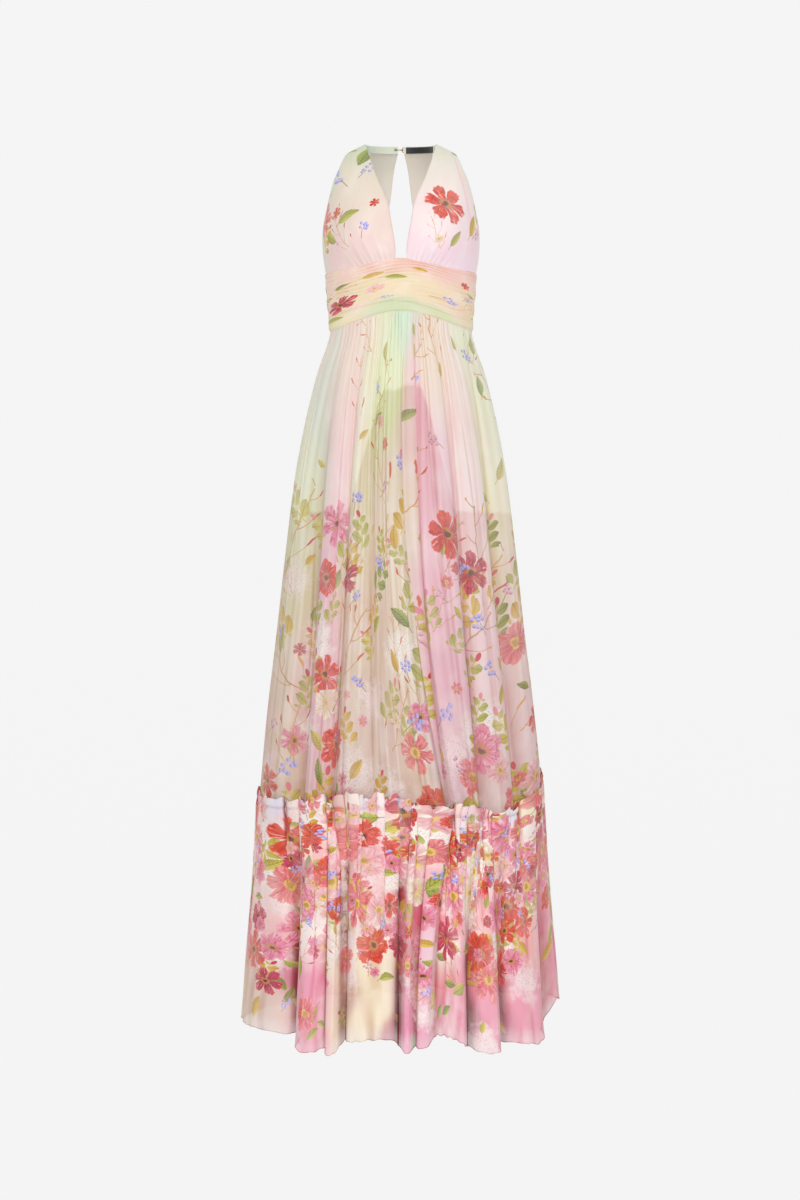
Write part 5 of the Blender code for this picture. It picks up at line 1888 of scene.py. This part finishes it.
def neck_band_left():
    """The wearer's left half, from the shoulder back to the hook."""
    down, across = shares(*NECK_MESH)
    angle = NECK_FRONT_ANGLE + (neck_end_angle() - NECK_FRONT_ANGLE) * across
    return neck_point(angle, NECK_HEIGHT * down, NECK_WAVE * np.sin(NECK_WAVES * across))


half_band = neck_band_left()
for place, points in (("left", half_band), ("right", mirrored(half_band))):
    cut = cut_of(points)
    band = make_cloth("neck_band_" + place, points, cut, skirt_finish)
    down, across = shares(*NECK_MESH)
    wash_over(band, (), NECK_TINTS[place], 100 * across, down, 1.0)
    print_motifs(band, {})
    thicken(band, NECK_WALL)
    put_in_place(band, "draped_chiffon", "neck_band_" + place)
    np.ptp(cut, axis=(0, 1)).tolist()
    "bodice_back_" + place

# ------------------------------------------------------------
# Label. A plain black woven ribbon on the inner face of the band's left half. Its ends are folded
# under and stitched down.
# ------------------------------------------------------------

LABEL_LENGTH, LABEL_HEIGHT, LABEL_MIDDLE_ANGLE = 57, 10.8, 140
LABEL_WALL, LABEL_OFF_BAND, LABEL_FOLD = 0.45, 0.3, 4.5  # and how long its folded ends are
LABEL_FOLD_EDGE = 0.6
LABEL_MESH = (8, 72)
LABEL_SEWN, LABEL_SEWN_IN = 1.6, 1.0  # how far the stitches are from its ends and its edges
LABEL_STITCHES = (1.0, 1.5, 0.14)  # length, spacing and radius


def label_ribbon():
    """Black satin ribbon with fine lengthways threads and closely woven edges."""
    finish = Finish("label_ribbon", Roughness=0.42, Sheen_Weight=0.3)
    across, down = finish.cut()
    threads = finish.noise(finish.vector(across * 90, down * 2600), 1)[0]
    edge = (down / (LABEL_HEIGHT * MM) - 0.5).math("ABSOLUTE").over(0.43, 0.02)
    colour = finish.mix(threads, "0B0B0C", "202023")
    finish.give("Base Color", finish.mix(edge * 0.5, colour, "2C2C30"))
    finish.woven(pitch=0.0004, strength=0.4)
    return finish.material


def on_the_band(along, below, inside):
    """Points on the band's inner face, at distances along the label and below its top edge."""
    radius = (NECK_HALF_WIDTH + NECK_BACK) / 2
    angle = LABEL_MIDDLE_ANGLE + np.degrees((along - LABEL_LENGTH / 2) / radius)
    return neck_point(angle, (NECK_HEIGHT - LABEL_HEIGHT) / 2 + below, -inside)


down, across = shares(*LABEL_MESH)
along = LABEL_LENGTH * across
from_end = np.minimum(along, LABEL_LENGTH - along)
folded = step_up(LABEL_FOLD - from_end, 0, LABEL_FOLD_EDGE)
points = on_the_band(along, LABEL_HEIGHT * down, LABEL_OFF_BAND + LABEL_WALL * (1 + folded))
cut = np.stack([along, LABEL_HEIGHT * down], axis=-1) * MM
label = make_cloth("neck_label", points, cut, label_ribbon())
thicken(label, LABEL_WALL)
put_in_place(label, "label_ribbon", "neck_label")

heights = np.linspace(LABEL_SEWN_IN, LABEL_HEIGHT - LABEL_SEWN_IN, 12)
end_lines = [
    on_the_band(0 * heights + place, heights, LABEL_OFF_BAND + 2 * LABEL_WALL)
    for place in (LABEL_SEWN, LABEL_LENGTH - LABEL_SEWN)
]
label_thread = sewing_thread("label_thread", "101012", "3A3A40")
tacks = sew("label_stitches", end_lines, LABEL_STITCHES, label_thread)
put_in_place(tacks, "label_ribbon")

# ------------------------------------------------------------
# Hook and eye. Bent gold-coloured wire: the eye is a loop on the end of the band's left half, and
# the hook, sewn to the right half through a ring at its root, turns round it.
# ------------------------------------------------------------

WIRE, WIRE_GAP = 1.3, 0.4  # the wire's thickness, and the play between hook and eye
HOOK_DROP, EYE_HALF_HEIGHT, EYE_X, EYE_CORNER = 1, 3.5, 2.4, 1.1
HOOK_RING, HOOK_ROOT = 1.5, 4.2  # the ring's radius, and how far it is from the band's end


def gold_wire():
    """Polished gold-coloured metal, a little duller in places."""
    finish = Finish("gold_wire", Metallic=1.0)
    place = finish.node("TexCoord", {}, {}).outputs["Object"]
    worn = finish.noise(place, 900, 3)[0]
    finish.give("Base Color", finish.mix(worn, "6E5020", "A8823A"))
    finish.give("Roughness", 0.2 + worn * 0.2)
    return finish.material


def bent_wire(name, points, material):
    """A round wire through the points, made a mesh. It stands for the CAD node of its name."""
    curve = bpy.data.curves.new(name, "CURVE")
    curve.dimensions = "3D"
    curve.bevel_depth, curve.bevel_resolution, curve.use_fill_caps = WIRE / 2 * MM, 3, True
    spline = curve.splines.new("POLY")
    spline.points.add(len(points) - 1)
    spline.points.foreach_set("co", np.c_[np.array(points) * MM, np.ones(len(points))].ravel())
    mesh = plain_mesh(add_object(name + "_line", curve))
    mesh.materials.clear()
    mesh.materials.append(material)
    mesh.shade_smooth()
    put_in_place(add_object(name, mesh), "gold_wire", name)


def arc(right, up, radius, first, last, count):
    """Points of an arc about a middle in a flat plane, between two angles."""
    turns = np.radians(np.linspace(first, last, count))
    return [(right + radius * math.cos(a), up + radius * math.sin(a)) for a in turns]


gold = gold_wire()
wire_y = NECK_BACK + NECK_WALL / 2
middle = NECK_BACK_RISE - NECK_HEIGHT / 2 + HOOK_DROP
high, low = middle + EYE_HALF_HEIGHT, middle - EYE_HALF_HEIGHT
loop = [(NECK_END_GAP, high)]
loop += arc(EYE_X + EYE_CORNER, high - EYE_CORNER, EYE_CORNER, 90, 180, 7)
loop += arc(EYE_X + EYE_CORNER, low + EYE_CORNER, EYE_CORNER, 180, 270, 7)
loop += [(NECK_END_GAP, low)]
bent_wire("neck_eye", [(x, wire_y, z) for x, z in loop], gold)

bend_radius = WIRE + WIRE_GAP
ring = arc(-NECK_END_GAP - HOOK_ROOT, middle, HOOK_RING, 330, 0, 14)
round_the_eye = arc(EYE_X, wire_y, bend_radius, -90, 90, 9)
hook = [(x, wire_y - bend_radius, z) for x, z in ring]
hook += [(x, y, middle) for x, y in round_the_eye]
hook += [(EYE_X - 3 * WIRE, wire_y + bend_radius, middle)]
bent_wire("neck_hook", hook, gold)

# ------------------------------------------------------------
# Studio. A pale floor that turns up into a backdrop, large soft lights, and the camera.
# ------------------------------------------------------------

CAMERA_DISTANCE, CAMERA_RIGHT, CAMERA_HEIGHT = 4.4, -0.00168, -0.764
VIEW_HEIGHT = 2.016  # what the frame takes in at the dress, from top to bottom
SENSOR = 36.0
FLOOR_HEIGHT, WALL_PLACE, FLOOR_FRONT, FLOOR_HALF_WIDTH = -1.72, 9.0, -21.0, 24.0
COVE_RADIUS, WALL_TOP = 4.0, 19.0
WHITE = (1, 1, 1, 1)
BACKDROP_GLOW, BACKDROP_COLOUR = 0.89, (0.02, 0.02, 0.02, 1)
WORLD_LIGHT, WORLD_SEEN = 0.38, 0.905  # the second past the backdrop's edges, where it ends


def make_backdrop():
    """A sweep of floor, curve and wall."""
    sweep = np.linspace(0, math.pi / 2, 25)
    cove_y = WALL_PLACE - COVE_RADIUS * (1 - np.sin(sweep))
    cove_z = FLOOR_HEIGHT + COVE_RADIUS * (1 - np.cos(sweep))
    y = np.concatenate([[FLOOR_FRONT], cove_y, [WALL_PLACE]])
    z = np.concatenate([[FLOOR_HEIGHT], cove_z, [WALL_TOP]])
    sides = [np.stack([0 * y + x, y, z], axis=-1) for x in (-FLOOR_HALF_WIDTH, FLOOR_HALF_WIDTH)]
    points = np.stack(sides, axis=1)
    finish = Finish(
        "backdrop",
        Base_Color=BACKDROP_COLOUR,
        Roughness=1.0,
        Specular_IOR_Level=0.0,
        Emission_Color=WHITE,
        Emission_Strength=BACKDROP_GLOW,
    )
    flat = np.zeros(points.shape[:2] + (2,))
    return make_cloth("backdrop", points[::-1] / MM, flat, finish.material)


def add_sun(name, towards, strength, spread):
    """A light from far away, soft because it is wide. Towards is the way that it shines."""
    light = bpy.data.lights.new(name, "SUN")
    light.energy = strength
    light.angle = math.radians(spread)
    lamp = add_object(name, light)
    lamp.rotation_euler = Vector(towards).to_track_quat("-Z", "Y").to_euler()


make_backdrop()
add_sun("key", towards=(0.06, 1.0, -0.6), strength=1.4, spread=30)
add_sun("fill", towards=(-0.35, 1.0, -0.12), strength=0.5, spread=60)

world = bpy.data.worlds.new("studio")
world.use_nodes = True
seen = add_node(world.node_tree, "ShaderNodeLightPath", {}, {}).outputs["Is Camera Ray"]
sockets = {"Value": seen, "To Min": WORLD_LIGHT, "To Max": WORLD_SEEN}
glow = add_node(world.node_tree, "ShaderNodeMapRange", {}, sockets).outputs["Result"]
background = world.node_tree.nodes["Background"]
connect(world.node_tree, WHITE, background.inputs["Color"])
connect(world.node_tree, glow, background.inputs["Strength"])
bpy.context.scene.world = world
bpy.context.scene.view_settings.view_transform = "Standard"

lens = bpy.data.cameras.new("camera")
lens.sensor_width = SENSOR
lens.lens = SENSOR * CAMERA_DISTANCE / VIEW_HEIGHT
camera = add_object("camera", lens)
camera.location = (CAMERA_RIGHT, -CAMERA_DISTANCE, CAMERA_HEIGHT)
camera.rotation_euler = (math.pi / 2, 0, 0)
bpy.context.scene.camera = camera
